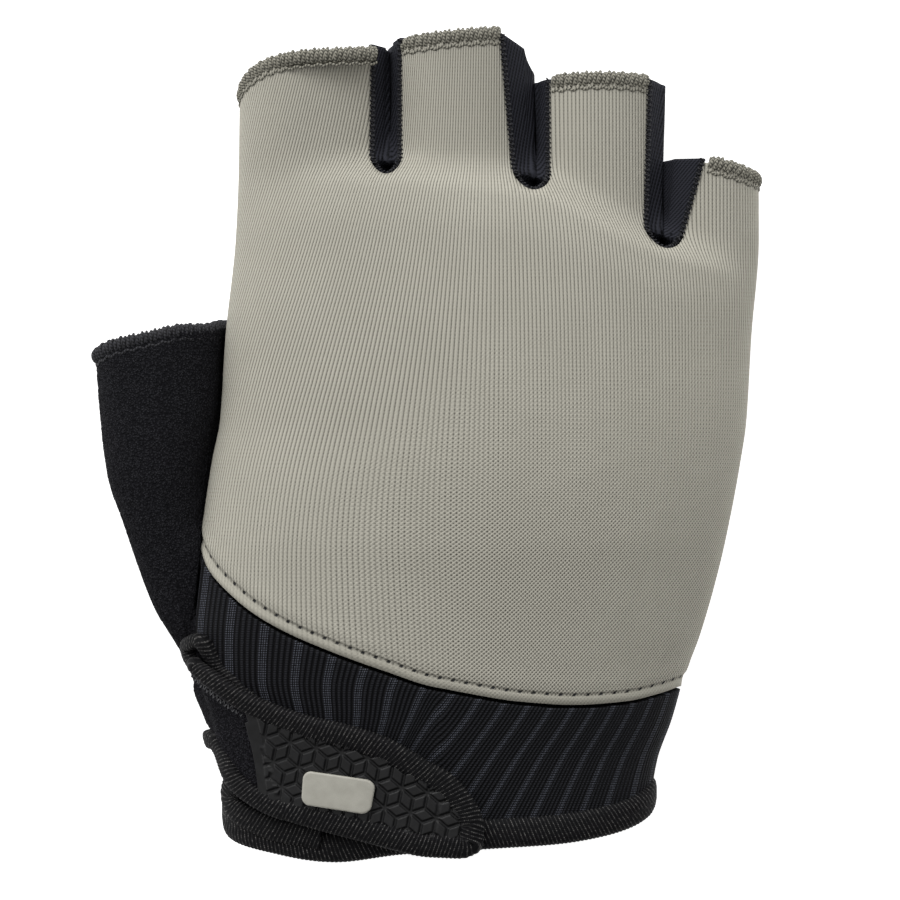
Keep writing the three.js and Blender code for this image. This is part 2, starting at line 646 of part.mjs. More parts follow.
function palmGrid() {
  const crotchRowY = yAt(THUMB_CROTCH);
  const columns = [];
  const thumbInner = (y) => {
    const foot = thumbPoint(0, y);
    return new THREE.Vector3(foot.x - THUMB_FRONT_SET_BACK, y, 0.6);
  };
  // Thumb's front.
  WRAP.forEach((under, k) => {
    const gap = k ? 0 : 1.7 * seamGapTurn(0);
    columns.push({ thumb: true, turn: 180 + under + gap });
  });
  for (const share of [1 / 3, 2 / 3, 1]) columns.push({ thumb: true, share });
  columns.push({ slot: true });
  for (const f of range(4)) {
    const left = f === 0 ? WRAP : [FORK_TURN, 90];
    const right = f === 3 ? [...WRAP].reverse() : [90, FORK_TURN];
    left.forEach((under, k) => {
      const gap = f === 0 && k === 0 ? 2 * seamGapTurn(0) : 0;
      columns.push({ f, turn: 180 + under + gap, wrapLeft: f === 0 });
    });
    for (const share of [1 / 3, 2 / 3]) columns.push({ f, share });
    right.forEach((under, k) =>
      columns.push({ f, turn: -under - (f === 3 && k === 2 ? seamGapTurn(0) : 0), wrapRight: f === 3 }),
    );
    if (f < 3) columns.push({ slot: true, after: f });
  }
  const fingerPlace = (column, y) => {
    const { f } = column;
    if (column.turn !== undefined) return fingerPoint(f, column.turn, y);
    const [a, b] = [fingerPoint(f, 270, y), fingerPoint(f, -90, y)];
    return new THREE.Vector3(mix(a.x, b.x, column.share), y, 0);
  };
  // Each column's place on the finger crotch row.
  for (const column of columns) {
    if (column.thumb || (column.slot && column.after === undefined)) continue;
    if (column.slot) continue;
    let y = yAt(CROTCHES[Math.min(column.f, 2)]);
    for (const pass of range(3)) y = crotchY(fingerPlace(column, y).x) + CROTCH_ROUND;
    column.low = fingerPlace(column, y);
  }
  columns.forEach((column, j) => {
    if (!column.slot || column.after === undefined) return;
    const low = columns[j - 1].low.clone().lerp(columns[j + 1].low, 0.5);
    low.y -= CROTCH_ROUND;
    low.z = columns[j - 1].low.z;
    column.low = low;
  });
  const inHand = (column, y, z) => {
    if (column.wrapLeft || column.wrapRight) return handPoint(column.turn, y);
    return new THREE.Vector3(mix(flatLeft(y), flatRight(y), column.across), y, z);
  };
  for (const column of columns) {
    if (!column.low) continue;
    const { x, y } = column.low;
    column.across = (x - flatLeft(y)) / (flatRight(y) - flatLeft(y));
  }
  // Each column's place on the thumb crotch row.
  const thumbFlat = (y) => thumbTube(y).left + THUMB_CORNER;
  const thumbPlace = (column, y) => {
    if (column.turn !== undefined) return tube(thumbTube(y), column.turn, y);
    const inner = thumbInner(y);
    return new THREE.Vector3(mix(thumbFlat(y), inner.x, column.share), y, column.share === 1 ? inner.z : 0);
  };
  for (const column of columns) {
    if (column.thumb) column.root = thumbPlace(column, crotchRowY);
    else if (column.low) column.root = inHand(column, crotchRowY, 0);
  }
  columns.forEach((column, j) => {
    if (!column.slot || column.after !== undefined) return;
    column.root = columns[j - 1].root.clone().lerp(columns[j + 1].root, 0.5);
    column.root.y -= CROTCH_ROUND;
    column.root.z = 1;
  });
  for (const column of columns) {
    const { x, y } = column.root;
    column.width = (x - thumbFlat(y)) / (flatRight(y) - thumbFlat(y));
  }
  const grid = [];
  for (const i of range(PALM_THUMB_ROWS)) {
    grid.push(
      columns.map((column) => {
        const wraps = column.turn !== undefined && (column.thumb || column.wrapRight);
        const fromFoot = clothFoot(wraps ? column.turn : 270);
        const y = mix(fromFoot, column.root.y, i / PALM_THUMB_ROWS);
        if (column.thumb && column.turn !== undefined) {
          const onThumb = ease((atY(y) - THUMB_ON_HAND.from) / (THUMB_ON_HAND.to - THUMB_ON_HAND.from));
          return tube(handSection(y), column.turn, y).lerp(tube(thumbTube(y), column.turn, y), onThumb);
        }
        if (column.wrapRight) return handPoint(column.turn, y);
        const z = column.root.z * ease(1 - (column.root.y - y) / 8);
        return new THREE.Vector3(mix(thumbFlat(y), flatRight(y), column.width), y, z);
      }),
    );
  }
  for (const i of range(PALM_HAND_ROWS)) {
    grid.push(
      columns.map((column) => {
        if (i === 0) return column.root;
        if (column.thumb) {
          if (i > THUMB_FRONT_ROWS) return null;
          let y = column.root.y;
          for (const pass of range(3)) {
            const { x } = thumbPlace(column, y);
            const end = yAt(thumbEnd(x / PALM_WIDTH) - THUMB_FRONT_SHORTER) - THUMB_HEM_WIDTH - SEAM_GAP;
            y = mix(column.root.y, end, i / THUMB_FRONT_ROWS);
          }
          return thumbPlace(column, y);
        }
        if (!column.low) return null;
        const y = mix(column.root.y, column.low.y, i / PALM_HAND_ROWS);
        return inHand(column, y, column.low.z * ease(1 - (column.low.y - y) / PART_START));
      }),
    );
  }
  grid.push(columns.map((column) => column.low ?? null));
  for (const i of range(PALM_FINGER_ROWS)) {
    grid.push(
      columns.map((column) => {
        if (column.thumb || column.slot) return null;
        let y = column.low.y;
        for (const pass of range(3)) {
          const { x } = fingerPlace(column, y);
          y = mix(column.low.y, fingerEnd(column.f, x, "palm"), (i + 1) / PALM_FINGER_ROWS);
        }
        return fingerPlace(column, y);
      }),
    );
  }
  return grid;
}

const PALM = palmGrid();

const forkGap = (row) => SEAM_GAP + (row === 0 ? 0.5 : 0);

// The strip between finger f and finger f + 1: down the one's side, round the foot of the slot and up
// the other's.
function fork(f) {
  const leg = (finger, row, isRight) => {
    const share = row / FINGER_ROWS;
    const place = (across) => {
      let y = yAt(CROTCHES[f]) + CROTCH_ROUND;
      let turn = 0;
      for (const pass of range(3)) {
        const back = backTurns(finger, y)[isRight ? "right" : "left"];
        const sign = isRight ? -1 : 1;
        const from = turnOn(back, y, sign * forkGap(row), (t, at) => tube(fingerSection(finger, at), t, at));
        const gapTurn = row < 2 ? 10 : 4;
        const under = isRight ? gapTurn - FORK_TURN : 180 + FORK_TURN - gapTurn;
        const wide = isRight ? 0 : 180;
        const turns = [
          from, mix(from, wide, 0.55), wide - sign * 6, wide + sign * 6, mix(wide, under, 0.55), under,
        ];
        turn = turns[across];
        const { x } = tube(fingerSection(finger, y), turn, y);
        const low = crotchY(x) + CROTCH_ROUND;
        const backEnd = fingerEnd(finger, x, "end") - 1;
        const palmEnd = fingerEnd(finger, x, "palm");
        y = mix(low, mix(backEnd, palmEnd, across / 5), share);
      }
      return fingerPoint(finger, turn, y);
    };
    return range(6).map(place);
  };
  const down = range(FINGER_ROWS + 1).map((row) => leg(f, FINGER_ROWS - row, true));
  const up = range(FINGER_ROWS + 1).map((row) => leg(f + 1, row, false));
  const [a, b] = [down.at(-1), up[0]];
  const web = [0.25, 0.5, 0.75].map((share) => {
    const dip = CROTCH_ROUND * Math.sin(Math.PI * share) ** 0.7;
    const row = a.map((p, across) => p.clone().lerp(b[across], share).add(new THREE.Vector3(0, -dip, 0)));
    const top = backHeight(row[0].x, row[0].y) - BACK_WALL - 2 * SEAM_GAP;
    const bottom = row[5].z + PALM_WALL + 2 * SEAM_GAP;
    row.forEach((p, across) => {
      p.z = mix(top, bottom, across / 5);
    });
    return row;
  });
  return wall([...down, ...web, ...up], FORK_WALL);
}

// Hems and bindings.

function stationsAlong(points, normals, closed = false) {
  const n = points.length;
  return points.map((centre, i) => {
    const before = points[closed ? (i + n - 1) % n : Math.max(0, i - 1)];
    const after = points[closed ? (i + 1) % n : Math.min(n - 1, i + 1)];
    const tangent = after.clone().sub(before).normalize();
    const across = normals[i].clone().cross(tangent).normalize();
    return { centre, across, normal: tangent.clone().cross(across).normalize() };
  });
}

function fingerHem(f, grow = 0) {
  const end = STRIPS[f][FINGER_ROWS].map(({ point }) => point);
  const before = STRIPS[f][FINGER_ROWS - 1].map(({ point }) => point);
  const along = end.map((p, k) => p.clone().sub(before[k]).normalize());
  const normals = end.map((p, k) => {
    const across = end[Math.min(k + 1, end.length - 1)].clone().sub(end[Math.max(k - 1, 0)]);
    return along[k].clone().cross(across).normalize();
  });
  const centres = end.map((p, k) =>
    p
      .clone()
      .addScaledVector(along[k], SEAM_GAP + HEM_WIDTH / 2)
      .addScaledVector(normals[k], -BACK_WALL / 2),
  );
  const n = centres.length - 1;
  centres[0].lerp(centres[1], (HEM_END_IN - grow) / centres[0].distanceTo(centres[1]));
  centres[n].lerp(centres[n - 1], (HEM_END_IN - grow) / centres[n].distanceTo(centres[n - 1]));
  return bar(stationsAlong(centres, normals), HEM_WIDTH + 2 * grow, HEM_THICK + 2 * grow);
}

// The ring round the thumb's hole: over its back from the hand outwards, then under its front.
function thumbHem(grow = 0) {
  const over = range(15).map((k) => {
    const share = k / 14;
    const end = (y) => yAt(thumbEnd(thumbPoint(share, y).x / PALM_WIDTH)) - THUMB_HEM_WIDTH - SEAM_GAP;
    return thumbPoint(share, settle(end));
  });
  const front = PALM[PALM_THUMB_ROWS + THUMB_FRONT_ROWS].slice(1, 6).map((p) => p.clone());
  const ring = [...over, ...front];
  const way = new THREE.Vector3(THUMB_WAY.x, THUMB_WAY.y, 0).normalize();
  const n = ring.length;
  const normals = ring.map((_, i) => {
    const along = ring[(i + 1) % n].clone().sub(ring[(i + n - 1) % n]);
    return way.clone().cross(along).normalize();
  });
  const centres = ring.map((p, i) => {
    const centre = p
      .clone()
      .addScaledVector(way, SEAM_GAP * 1.5 + THUMB_HEM_WIDTH / 2)
      .addScaledVector(normals[i], -THUMB_WALL / 2);
    centre.z = Math.max(centre.z, THUMB_HEM_THICK / 2 + 0.05);
    return centre;
  });
  return bar(
    stationsAlong(centres, normals, true),
    THUMB_HEM_WIDTH + 2 * grow,
    THUMB_HEM_THICK + 2 * grow,
    { closed: true },
  );
}

function wristBinding(grow = 0) {
  const start = turnOn(cuffLeft(0.03), yAt(0.03), -0.4);
  const path = [];
  for (const k of range(27)) path.push(mix(start, -88, k / 26));
  const section = handSection(yAt(0.06));
  const flats = 4;
  const points = path.map((turn) => wristStation(turn));
  const right = section.right - HAND_CORNER;
  const left = section.left + HAND_CORNER;
  for (const k of range(flats)) {
    const x = mix(right, left, (k + 1) / (flats + 1));
    points.push({
      centre: new THREE.Vector3(x, yAt(0.062) + BINDING_WIDTH / 2, BINDING_THICK / 2),
      normal: new THREE.Vector3(0, 0, -1),
    });
  }
  const end = turnOn(cuffLeft(0.03), yAt(0.03), 0.4);
  for (const k of range(16)) points.push(wristStation(mix(268, end, k / 15)));
  return bar(
    stationsAlong(points.map((p) => p.centre), points.map((p) => p.normal)),
    BINDING_WIDTH + 2 * grow,
    BINDING_THICK + 2 * grow,
  );
}

function wristStation(turn) {
  const y = yAt(wristEdge(turn)) + BINDING_WIDTH / 2;
  const up = turn <= 90 ? turn : 180 - turn;
  const proud = BINDING_PROUD * ease((up + 70) / 60);
  const normal = tubeNormal(turn, y);
  return { centre: tube(handSection(y), turn, y).addScaledVector(normal, proud - BINDING_THICK / 2), normal };
}

function tubeNormal(turn, y) {
  const section = handSection(y);
  const round = tube(section, turn + 1, y).sub(tube(section, turn - 1, y));
  return new THREE.Vector3(0, 1, 0).cross(round).normalize();
}

function slitBinding(grow = 0) {
  const points = [];
  const low = clothFoot(cuffLeft(0.04)) + 0.3;
  const top = yAt(0.262);
  for (const k of range(15)) {
    const y = mix(low, top, k / 14);
    const turn = turnFrom(cuffLeft, y, -SLIT_BINDING_WIDTH / 2);
    const normal = tubeNormal(turn, y);
    const centre = handPoint(turn, y).addScaledVector(normal, BINDING_PROUD - SLIT_BINDING_THICK / 2);
    points.push({ centre, normal });
  }
  return bar(
    stationsAlong(points.map((p) => p.centre), points.map((p) => p.normal)),
    SLIT_BINDING_WIDTH + 2 * grow,
    SLIT_BINDING_THICK + 2 * grow,
  );
}

// Strap.

const strapLift = (turn) =>
  mix(STRAP_LIFT, STRAP_ROOT_LIFT, ease((turn - STRAP_SETTLE.from) / STRAP_SETTLE.over));

// Slope of one strap edge, as rise in y for each length round the wrist.
function edgeSlope(edge, turn) {
  const y = yAt(edge(turn));
  const run = handPoint(turn - 1, y).distanceTo(handPoint(turn + 1, y));
  return (yAt(edge(turn + 1)) - yAt(edge(turn - 1))) / run;
}

const insetEdge = (edge, turn, inset) => yAt(edge(turn)) + inset * Math.hypot(1, edgeSlope(edge, turn));

function strapWall(fromTurn, inset, lift, thickness, columns) {
  const grid = range(5).map((i) =>
    range(columns + 1).map((j) => {
      const share = j / columns;
      const turnUpper = mix(STRAP_TIP, fromTurn.upper, share);
      const turnLower = mix(STRAP_TIP, fromTurn.lower, share);
      const upper = insetEdge(strapUpper, turnUpper, -inset);
      const lower = insetEdge(strapLower, turnLower, inset);
      const across = i / 4;
      const turn = mix(turnLower, turnUpper, across);
      return overSkin(turn, mix(lower, upper, across), strapLift(turn) + lift + thickness);
    }),
  );
  return wall(grid, thickness);
}

function strapBinding(grow = 0) {
  const outline = [];
  const upperTurns = [
    168, 160, 152, 144, 136, 128, 120, 113, 107, 102, 98, 94.5, 91.5, 89, 87, 85.3, 83.9, 82.7, 81.7, 80.9,
  ];
  const lowerTurns = [
    80.9, 81.7, 82.9, 84.5, 86.5, 89, 92.5, 97, 102, 108, 115,
    123, 131, 139, 147, 155, 163, 171, 179, 187, 195, 203,
  ];
  for (const turn of upperTurns) outline.push({ turn, y: yAt(strapUpper(turn)) });
  for (const turn of lowerTurns) outline.push({ turn, y: yAt(strapLower(turn)) });
  const lifted = outline.map(({ turn, y }) => overSkin(turn, y, strapLift(turn) + STRAP_BINDING_THICK / 2));
  const normals = outline.map(({ turn, y }) => skinNormal(turn, y));
  const stations = stationsAlong(lifted, normals);
  const centres = stations.map(({ centre, across }) =>
    centre.clone().addScaledVector(across, -STRAP_BINDING_WIDTH / 2),
  );
  return bar(
    stationsAlong(centres, normals),
    STRAP_BINDING_WIDTH + 2 * grow,
    STRAP_BINDING_THICK + 2 * grow,
  );
}

// The plain plate on the label, bent to it.
function strapBadge() {
  const [long, wide] = [7, 5];
  const y0 = yAt(BADGE_PLACE.at);
  const grid = range(wide).map((i) =>
    range(long).map((j) => {
      const [u, v] = [1 - (2 * j) / (long - 1), (2 * i) / (wide - 1) - 1];
      const corner = Math.abs(u) === 1 && Math.abs(v) === 1 ? 0.3 * BADGE_CORNER : 0;
      const across = u * (BADGE_LENGTH / 2 - corner);
      const along = v * (BADGE_WIDTH / 2 - corner);
      const x = across * cosd(BADGE_TILT) - along * sind(BADGE_TILT);
      const y = y0 + across * sind(BADGE_TILT) + along * cosd(BADGE_TILT);
      const lift = STRAP_LIFT + STRAP_WALL + PATCH_WALL + 2 * SEAM_GAP + BADGE_THICK;
      return overSkin(turnOn(BADGE_PLACE.turn, y0, -x), y, lift);
    }),
  );
  return wall(grid, BADGE_THICK);
}

// Cuts one solid clear of others, and keeps the largest body.
const wasm = await Module();
wasm.setup();

function solid(geometry) {
  const plain = geometry.clone();
  plain.deleteAttribute("normal");
  plain.deleteAttribute("uv");
  const merged = mergeVertices(plain, 1e-4);
  return new wasm.Manifold(
    new wasm.Mesh({
      numProp: 3,
      vertProperties: merged.attributes.position.array,
      triVerts: new Uint32Array(merged.index.array),
    }),
  );
}

function cutClear(geometry, ...others) {
  let body = solid(geometry);
  for (const other of others) body = body.subtract(solid(other));
  const largest = body.decompose().sort((a, b) => b.volume() - a.volume())[0];
  const mesh = largest.getMesh();
  return new THREE.BufferGeometry()
    .setAttribute("position", new THREE.Float32BufferAttribute(mesh.vertProperties, 3))
    .setIndex([...mesh.triVerts]);
}

const CLOTH = { roughness: 0.95, metalness: 0 };
const GREY = 0xa5a296;
const BLACK = 0x161618;

const group = new THREE.Group();
const add = (name, geometry, color, extra = {}) => {
  const mesh = new THREE.Mesh(geometry, new THREE.MeshStandardMaterial({ color, ...CLOTH, ...extra }));
  mesh.name = name;
  geometry.computeVertexNormals();
  group.add(mesh);
};
add("back_panel", backPanel(), GREY);
const roundBindings = [wristBinding(SEAM_GAP), slitBinding(SEAM_GAP)];
add("palm_panel", wall(PALM, PALM_WALL), BLACK);
add("thumb_panel", cutClear(thumbPanel(), ...roundBindings, thumbHem(SEAM_GAP)), BLACK);
add("cuff_panel", cutClear(cuffPanel(), ...roundBindings), BLACK);
["fork_index_middle", "fork_middle_ring", "fork_ring_little"].forEach((name, f) =>
  add(name, cutClear(fork(f), fingerHem(f, SEAM_GAP), fingerHem(f + 1, SEAM_GAP)), BLACK),
);
FINGERS.forEach(({ name }, f) => add(`${name}_hem`, fingerHem(f), GREY));
add("thumb_hem", thumbHem(), BLACK);
add("wrist_binding", wristBinding(), BLACK);
add("slit_binding", slitBinding(), BLACK);
add("strap_binding", strapBinding(), BLACK);
const tab = strapWall(STRAP_ROOT, STRAP_BINDING_WIDTH, 0, STRAP_WALL, 18);
add("strap_tab", cutClear(tab, strapBinding(SEAM_GAP)), BLACK);
const labelRoot = { upper: PATCH_ROOT, lower: PATCH_ROOT };
const label = strapWall(labelRoot, STRAP_BINDING_WIDTH, STRAP_WALL + SEAM_GAP, PATCH_WALL, 12);
add("strap_patch", cutClear(label, strapBinding(SEAM_GAP)), 0x1b1b1e, { roughness: 0.55 });
add("strap_badge", strapBadge(), 0x9b9a90, { roughness: 0.5 });
export default group;
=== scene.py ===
"""Cycling glove, dressed: the cloth, ribs, tapes, stitches and rubber of the part's eighteen solids."""

import bmesh
import bpy
import numpy as np
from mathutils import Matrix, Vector


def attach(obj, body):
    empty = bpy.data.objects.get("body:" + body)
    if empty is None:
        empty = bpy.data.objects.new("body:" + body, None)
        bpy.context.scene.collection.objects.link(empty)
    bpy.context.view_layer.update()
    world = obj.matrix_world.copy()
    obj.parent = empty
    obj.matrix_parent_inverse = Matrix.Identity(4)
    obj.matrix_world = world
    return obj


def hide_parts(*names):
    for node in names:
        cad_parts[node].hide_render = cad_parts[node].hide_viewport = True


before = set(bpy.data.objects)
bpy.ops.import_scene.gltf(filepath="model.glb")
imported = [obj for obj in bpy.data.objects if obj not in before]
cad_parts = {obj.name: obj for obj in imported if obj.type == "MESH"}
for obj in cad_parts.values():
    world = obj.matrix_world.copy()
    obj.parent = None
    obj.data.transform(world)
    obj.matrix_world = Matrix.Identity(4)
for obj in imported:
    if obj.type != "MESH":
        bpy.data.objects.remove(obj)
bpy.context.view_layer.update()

# Camera: straight above, with a long lens. 900 pixels span 162 mm at 12 mm above the table.
CAMERA_UP = 2.0
camera_data = bpy.data.cameras.new("camera")
camera_data.sensor_width = 36
camera_data.lens = 18 * (CAMERA_UP - 0.012) / 0.081
camera_data.clip_start = 0.05
camera_data.clip_end = 10
camera = bpy.data.objects.new("camera", camera_data)
camera.location = (0.00387, -0.0009, CAMERA_UP)
bpy.context.collection.objects.link(camera)
bpy.context.scene.camera = camera
bpy.context.scene.view_settings.view_transform = "Standard"

# Named sizes, in millimetres, as in the part's source.
GLOVE_LENGTH = 149.5
PALM_WIDTH = 98
PALM_DEPTH = 30
BACK_WALL = 1.5
PALM_WALL = 1.6
THUMB_WALL = 1.6
CUFF_WALL = 1.3
FORK_WALL = 1.0
SEAM_GAP = 0.35
HEM_WIDTH = 3.0
HEM_THICK = 2.4
HEM_END_IN = 0.5
THUMB_HEM_WIDTH = 2.7
THUMB_HEM_THICK = 2.2
BINDING_WIDTH = 5.4
BINDING_THICK = 3.0
BINDING_PROUD = 0.9
STRAP_BINDING_THICK = 2.6
SLIT_BINDING_WIDTH = 3.4
SLIT_BINDING_THICK = 2.6
STRAP_WALL = 1.2
PATCH_WALL = 0.7
BADGE_LENGTH = 12.2
BADGE_WIDTH = 6.3
BADGE_THICK = 0.8
BADGE_CORNER = 1.6
BADGE_TILT = -9
SQUARENESS = 2.4
HAND_CORNER = 8
FINGER_CORNER = 5
THUMB_CORNER = 6
SEAM_TURN = 45
CROTCH_ROUND = 2.4
FINGER_BLEND = 14
PART_START = 9
FORK_TURN = 62
CREST_SHARE = 0.43
TUCK_SHARE = 0.2
THUMB_LEAN = 1.6
THUMB_CLEAR = 0.7
PATCH_ROOT = 139
STRAP_LIFT = SEAM_GAP + BINDING_PROUD
CROTCHES = [0.825, 0.807, 0.736]

# Places and sizes that only this scene needs. A turn is in degrees round the hand, an AT along the glove.
KNUCKLE_TOP = 28
WALE_LEAN = 0.42
CUFF_LEFT_TURN = 171
SLIT_FOOT_AT = 0.04
SLIT_TOP_AT = 0.2425
STRAP_TIP_TURN = 86
UNDER_TAPE = 1.8
CROTCH_CURVE = 0.7
STAR = 4.7
STITCH_LENGTH = 2.1
HEM_PITCH = 0.8
HEM_THREAD = 0.5
TAPE_PITCH = 0.72
WIDE_TAPE = 4.4
HOOK_TAPE = 2.6
TAB_INSET = 1.6
PATCH_INSET = 2.6
PATCH_TILT = -11
BADGE_TURN = 113.5
BADGE_AT = 0.087

# Fineness of the cloth's grids.
HAND_ROWS = 84
FINGER_ROWS = 26
STRIP_COLUMNS = [40, 26, 26, 30]
SLOT_COLUMNS = 16


def table(columns, *rows):
    """A table of named columns."""
    return {name: np.array(values, float) for name, values in zip(columns.split(), zip(*rows))}


HAND = table(
    "at left right side crown",
    (0.0, -0.367, 0.4, 0.36, 0.78),
    (0.07, -0.371, 0.408, 0.37, 0.8),
    (0.12, -0.381, 0.42, 0.38, 0.82),
    (0.17, -0.403, 0.447, 0.39, 0.85),
    (0.22, -0.432, 0.469, 0.4, 0.88),
    (0.27, -0.437, 0.498, 0.4, 0.91),
    (0.34, -0.427, 0.529, 0.4, 0.95),
    (0.39, -0.418, 0.547, 0.4, 0.98),
    (0.48, -0.398, 0.573, 0.4, 1.0),
    (0.53, -0.383, 0.584, 0.4, 1.0),
    (0.63, -0.373, 0.593, 0.4, 0.985),
    (0.75, -0.354, 0.607, 0.38, 0.93),
    (0.83, -0.349, 0.607, 0.35, 0.86),
    (1.0, -0.346, 0.607, 0.32, 0.72),
)
FINGERS = [
    dict(
        name="index", crown=0.69, bow=0.0265, bend=0.5,
        endLeft=0.93, endRight=0.979, palmLeft=0.915, palmRight=0.962,
        wallRightLow=-0.0745, wallRightTip=-0.0745, backRightLow=-0.106, backRightTip=-0.104,
    ),
    dict(
        name="middle", crown=0.71, bow=0.004, bend=1,
        endLeft=0.985, endRight=1.0, palmLeft=0.966, palmRight=0.94,
        wallLeftLow=-0.0675, wallLeftTip=-0.0675, backLeftLow=-0.05, backLeftTip=-0.05,
        wallRightLow=0.19, wallRightTip=0.186, backRightLow=0.157, backRightTip=0.13,
    ),
    dict(
        name="ring", crown=0.69, bow=0.006, bend=1,
        endLeft=0.943, endRight=0.943, palmLeft=0.932, palmRight=0.925,
        wallLeftLow=0.2, wallLeftTip=0.199, backLeftLow=0.2215, backLeftTip=0.2215,
        wallRightLow=0.4225, wallRightTip=0.4285, backRightLow=0.394, backRightTip=0.403,
    ),
    dict(
        name="little", crown=0.65, bow=0.006, bend=1,
        endLeft=0.853, endRight=0.829, palmLeft=0.83, palmRight=0.805,
        wallLeftLow=0.4325, wallLeftTip=0.4365, backLeftLow=0.459, backLeftTip=0.51,
    ),
]
ARC_SEAM = table(
    "turn at",
    (-45, 0.213), (9, 0.2095), (26, 0.202), (42, 0.193), (60, 0.189), (74, 0.193), (87, 0.205),
    (99, 0.229), (112, 0.253), (125, 0.277), (137, 0.301), (148, 0.325), (160, 0.349), (172, 0.375),
)
WRIST_EDGE = table(
    "turn at",
    (-90, 0.062), (-40, 0.065), (0, 0.064), (15, 0.0515), (30, 0.039), (45, 0.029), (60, 0.0215),
    (80, 0.016), (97, 0.0095), (115, 0.0), (140, 0.0115), (165, 0.026), (180, 0.043), (220, 0.06),
    (270, 0.062),
)
BACK_LEFT = table(
    "at turn",
    (0.36, 171), (0.38, 173), (0.42, 184), (0.47, 193), (0.53, 198), (0.56, 208), (0.587, 225), (0.62, 225),
)
CUFF_LEFT = table(
    "at turn",
    (0.04, 131), (0.1, 133), (0.15, 136), (0.2, 145), (0.235, 158), (0.265, 169), (0.3, 171), (0.38, 171),
)
THUMB = table(
    "at outer crest top side",
    (0.04, -0.369, -0.36, 0.5, 0.36),
    (0.12, -0.383, -0.372, 0.5, 0.37),
    (0.17, -0.405, -0.394, 0.49, 0.36),
    (0.22, -0.441, -0.427, 0.48, 0.34),
    (0.27, -0.477, -0.445, 0.48, 0.32),
    (0.31, -0.508, -0.458, 0.49, 0.31),
    (0.36, -0.537, -0.472, 0.51, 0.3),
    (0.41, -0.563, -0.483, 0.54, 0.3),
    (0.46, -0.589, -0.49, 0.57, 0.3),
    (0.53, -0.603, -0.495, 0.59, 0.3),
    (0.66, -0.617, -0.492, 0.59, 0.3),
)
THUMB_END = table(
    "across at",
    (-0.617, 0.611), (-0.585, 0.624), (-0.5, 0.638), (-0.44, 0.646), (-0.4, 0.6465), (-0.37, 0.651),
)
STRAP = table(
    "turn upper lower",
    (80.5, 0.045, 0.027),
    (82, 0.064, 0.0145),
    (86, 0.095, 0.0065),
    (92, 0.126, 0.0085),
    (99, 0.15, 0.017),
    (107, 0.165, 0.027),
    (120, 0.18, 0.041),
    (137, 0.208, 0.0595),
    (152, 0.236, 0.085),
    (165, 0.253, 0.127),
    (180, 0.258, 0.158),
    (205, 0.262, 0.17),
)
ARC_END = 0.375


# Small maths.
def cosd(a):
    return np.cos(np.radians(a))


def sind(a):
    return np.sin(np.radians(a))


def mix(a, b, s):
    return a + (b - a) * s


def ease(s):
    t = np.clip(s, 0, 1)
    return t * t * (3 - 2 * t)


def y_at(at):
    return (at - 0.5) * GLOVE_LENGTH


def at_y(y):
    return y / GLOVE_LENGTH + 0.5


def unit(v):
    return v / np.maximum(np.linalg.norm(v, axis=-1, keepdims=True), 1e-9)


def point(x, y, z):
    x, y, z = np.broadcast_arrays(x, y, z)
    return np.stack([x, y, z], -1).astype(float)


def through(rows, key, column):
    """A smooth curve through one column of a table, against another."""
    x, v = rows[key], rows[column]
    step = np.diff(v) / np.diff(x)
    slope = np.concatenate([step[:1], step])
    a, b = step[:-1], step[1:]
    flat = a * b <= 0
    slope[1:-1] = np.where(flat, 0, 2 * a * b / np.where(flat, 1, a + b))

    def at(where):
        where = np.clip(where, x[0], x[-1])
        i = np.clip(np.searchsorted(x, where) - 1, 0, len(x) - 2)
        h = x[i + 1] - x[i]
        t = (where - x[i]) / h
        return (
            v[i] * (1 + 2 * t) * (1 - t) ** 2
            + v[i + 1] * t * t * (3 - 2 * t)
            + h * t * (1 - t) * (slope[i] * (1 - t) - slope[i + 1] * t)
        )

    return at


hand_left, hand_right, hand_side, hand_crown = (
    through(HAND, "at", name) for name in ("left", "right", "side", "crown")
)
arc_seam = through(ARC_SEAM, "turn", "at")
wrist_edge = through(WRIST_EDGE, "turn", "at")
back_left = through(BACK_LEFT, "at", "turn")
cuff_left = through(CUFF_LEFT, "at", "turn")
strap_upper, strap_lower = (through(STRAP, "turn", name) for name in ("upper", "lower"))
thumb_end = through(THUMB_END, "across", "at")
thumb_column = {name: through(THUMB, "at", name) for name in ("outer", "crest", "top", "side")}


# Cross-sections: left, right, side, crown, corner.
def hand_section(y, corner=HAND_CORNER):
    at = at_y(y)
    return (
        hand_left(at) * PALM_WIDTH,
        hand_right(at) * PALM_WIDTH,
        hand_side(at) * PALM_DEPTH,
        hand_crown(at) * PALM_DEPTH,
        corner,
    )


def finger_x(f, edge, y):
    finger = FINGERS[f]
    is_left = edge.endswith("Left")
    low = y_at(CROTCHES[f - 1 if is_left else f])
    tip = y_at(finger["endLeft" if is_left else "endRight"])
    share = np.maximum(-0.2, (y - low) / (tip - low))
    return mix(finger[edge + "Low"], finger[edge + "Tip"], share) * PALM_WIDTH


def finger_section(f, y):
    left, right, side, _, _ = hand_section(y)
    return (
        left if f == 0 else finger_x(f, "wallLeft", y),
        right if f == 3 else finger_x(f, "wallRight", y),
        side,
        FINGERS[f]["crown"] * PALM_DEPTH,
        FINGER_CORNER,
    )


def tube(section, turn, y):
    """The point of a flattened tube at a turn. Past 0 and 180 it rounds under to the table."""
    left, right, side, crown, corner = section
    turn = np.asarray(turn, float)
    half = (right - left) / 2
    way = np.where(turn < 90, 1, -1)
    under = np.maximum(-turn, turn - 180)
    power = 2 / SQUARENESS
    reach = np.where(
        under > 0, half - corner * (1 - cosd(under)), half * np.abs(cosd(turn)) ** power
    )
    z = np.where(
        under > 0, side * (1 - sind(under)), side + (crown - side) * np.abs(sind(turn)) ** power
    )
    return point((left + right) / 2 + way * reach, y, z)


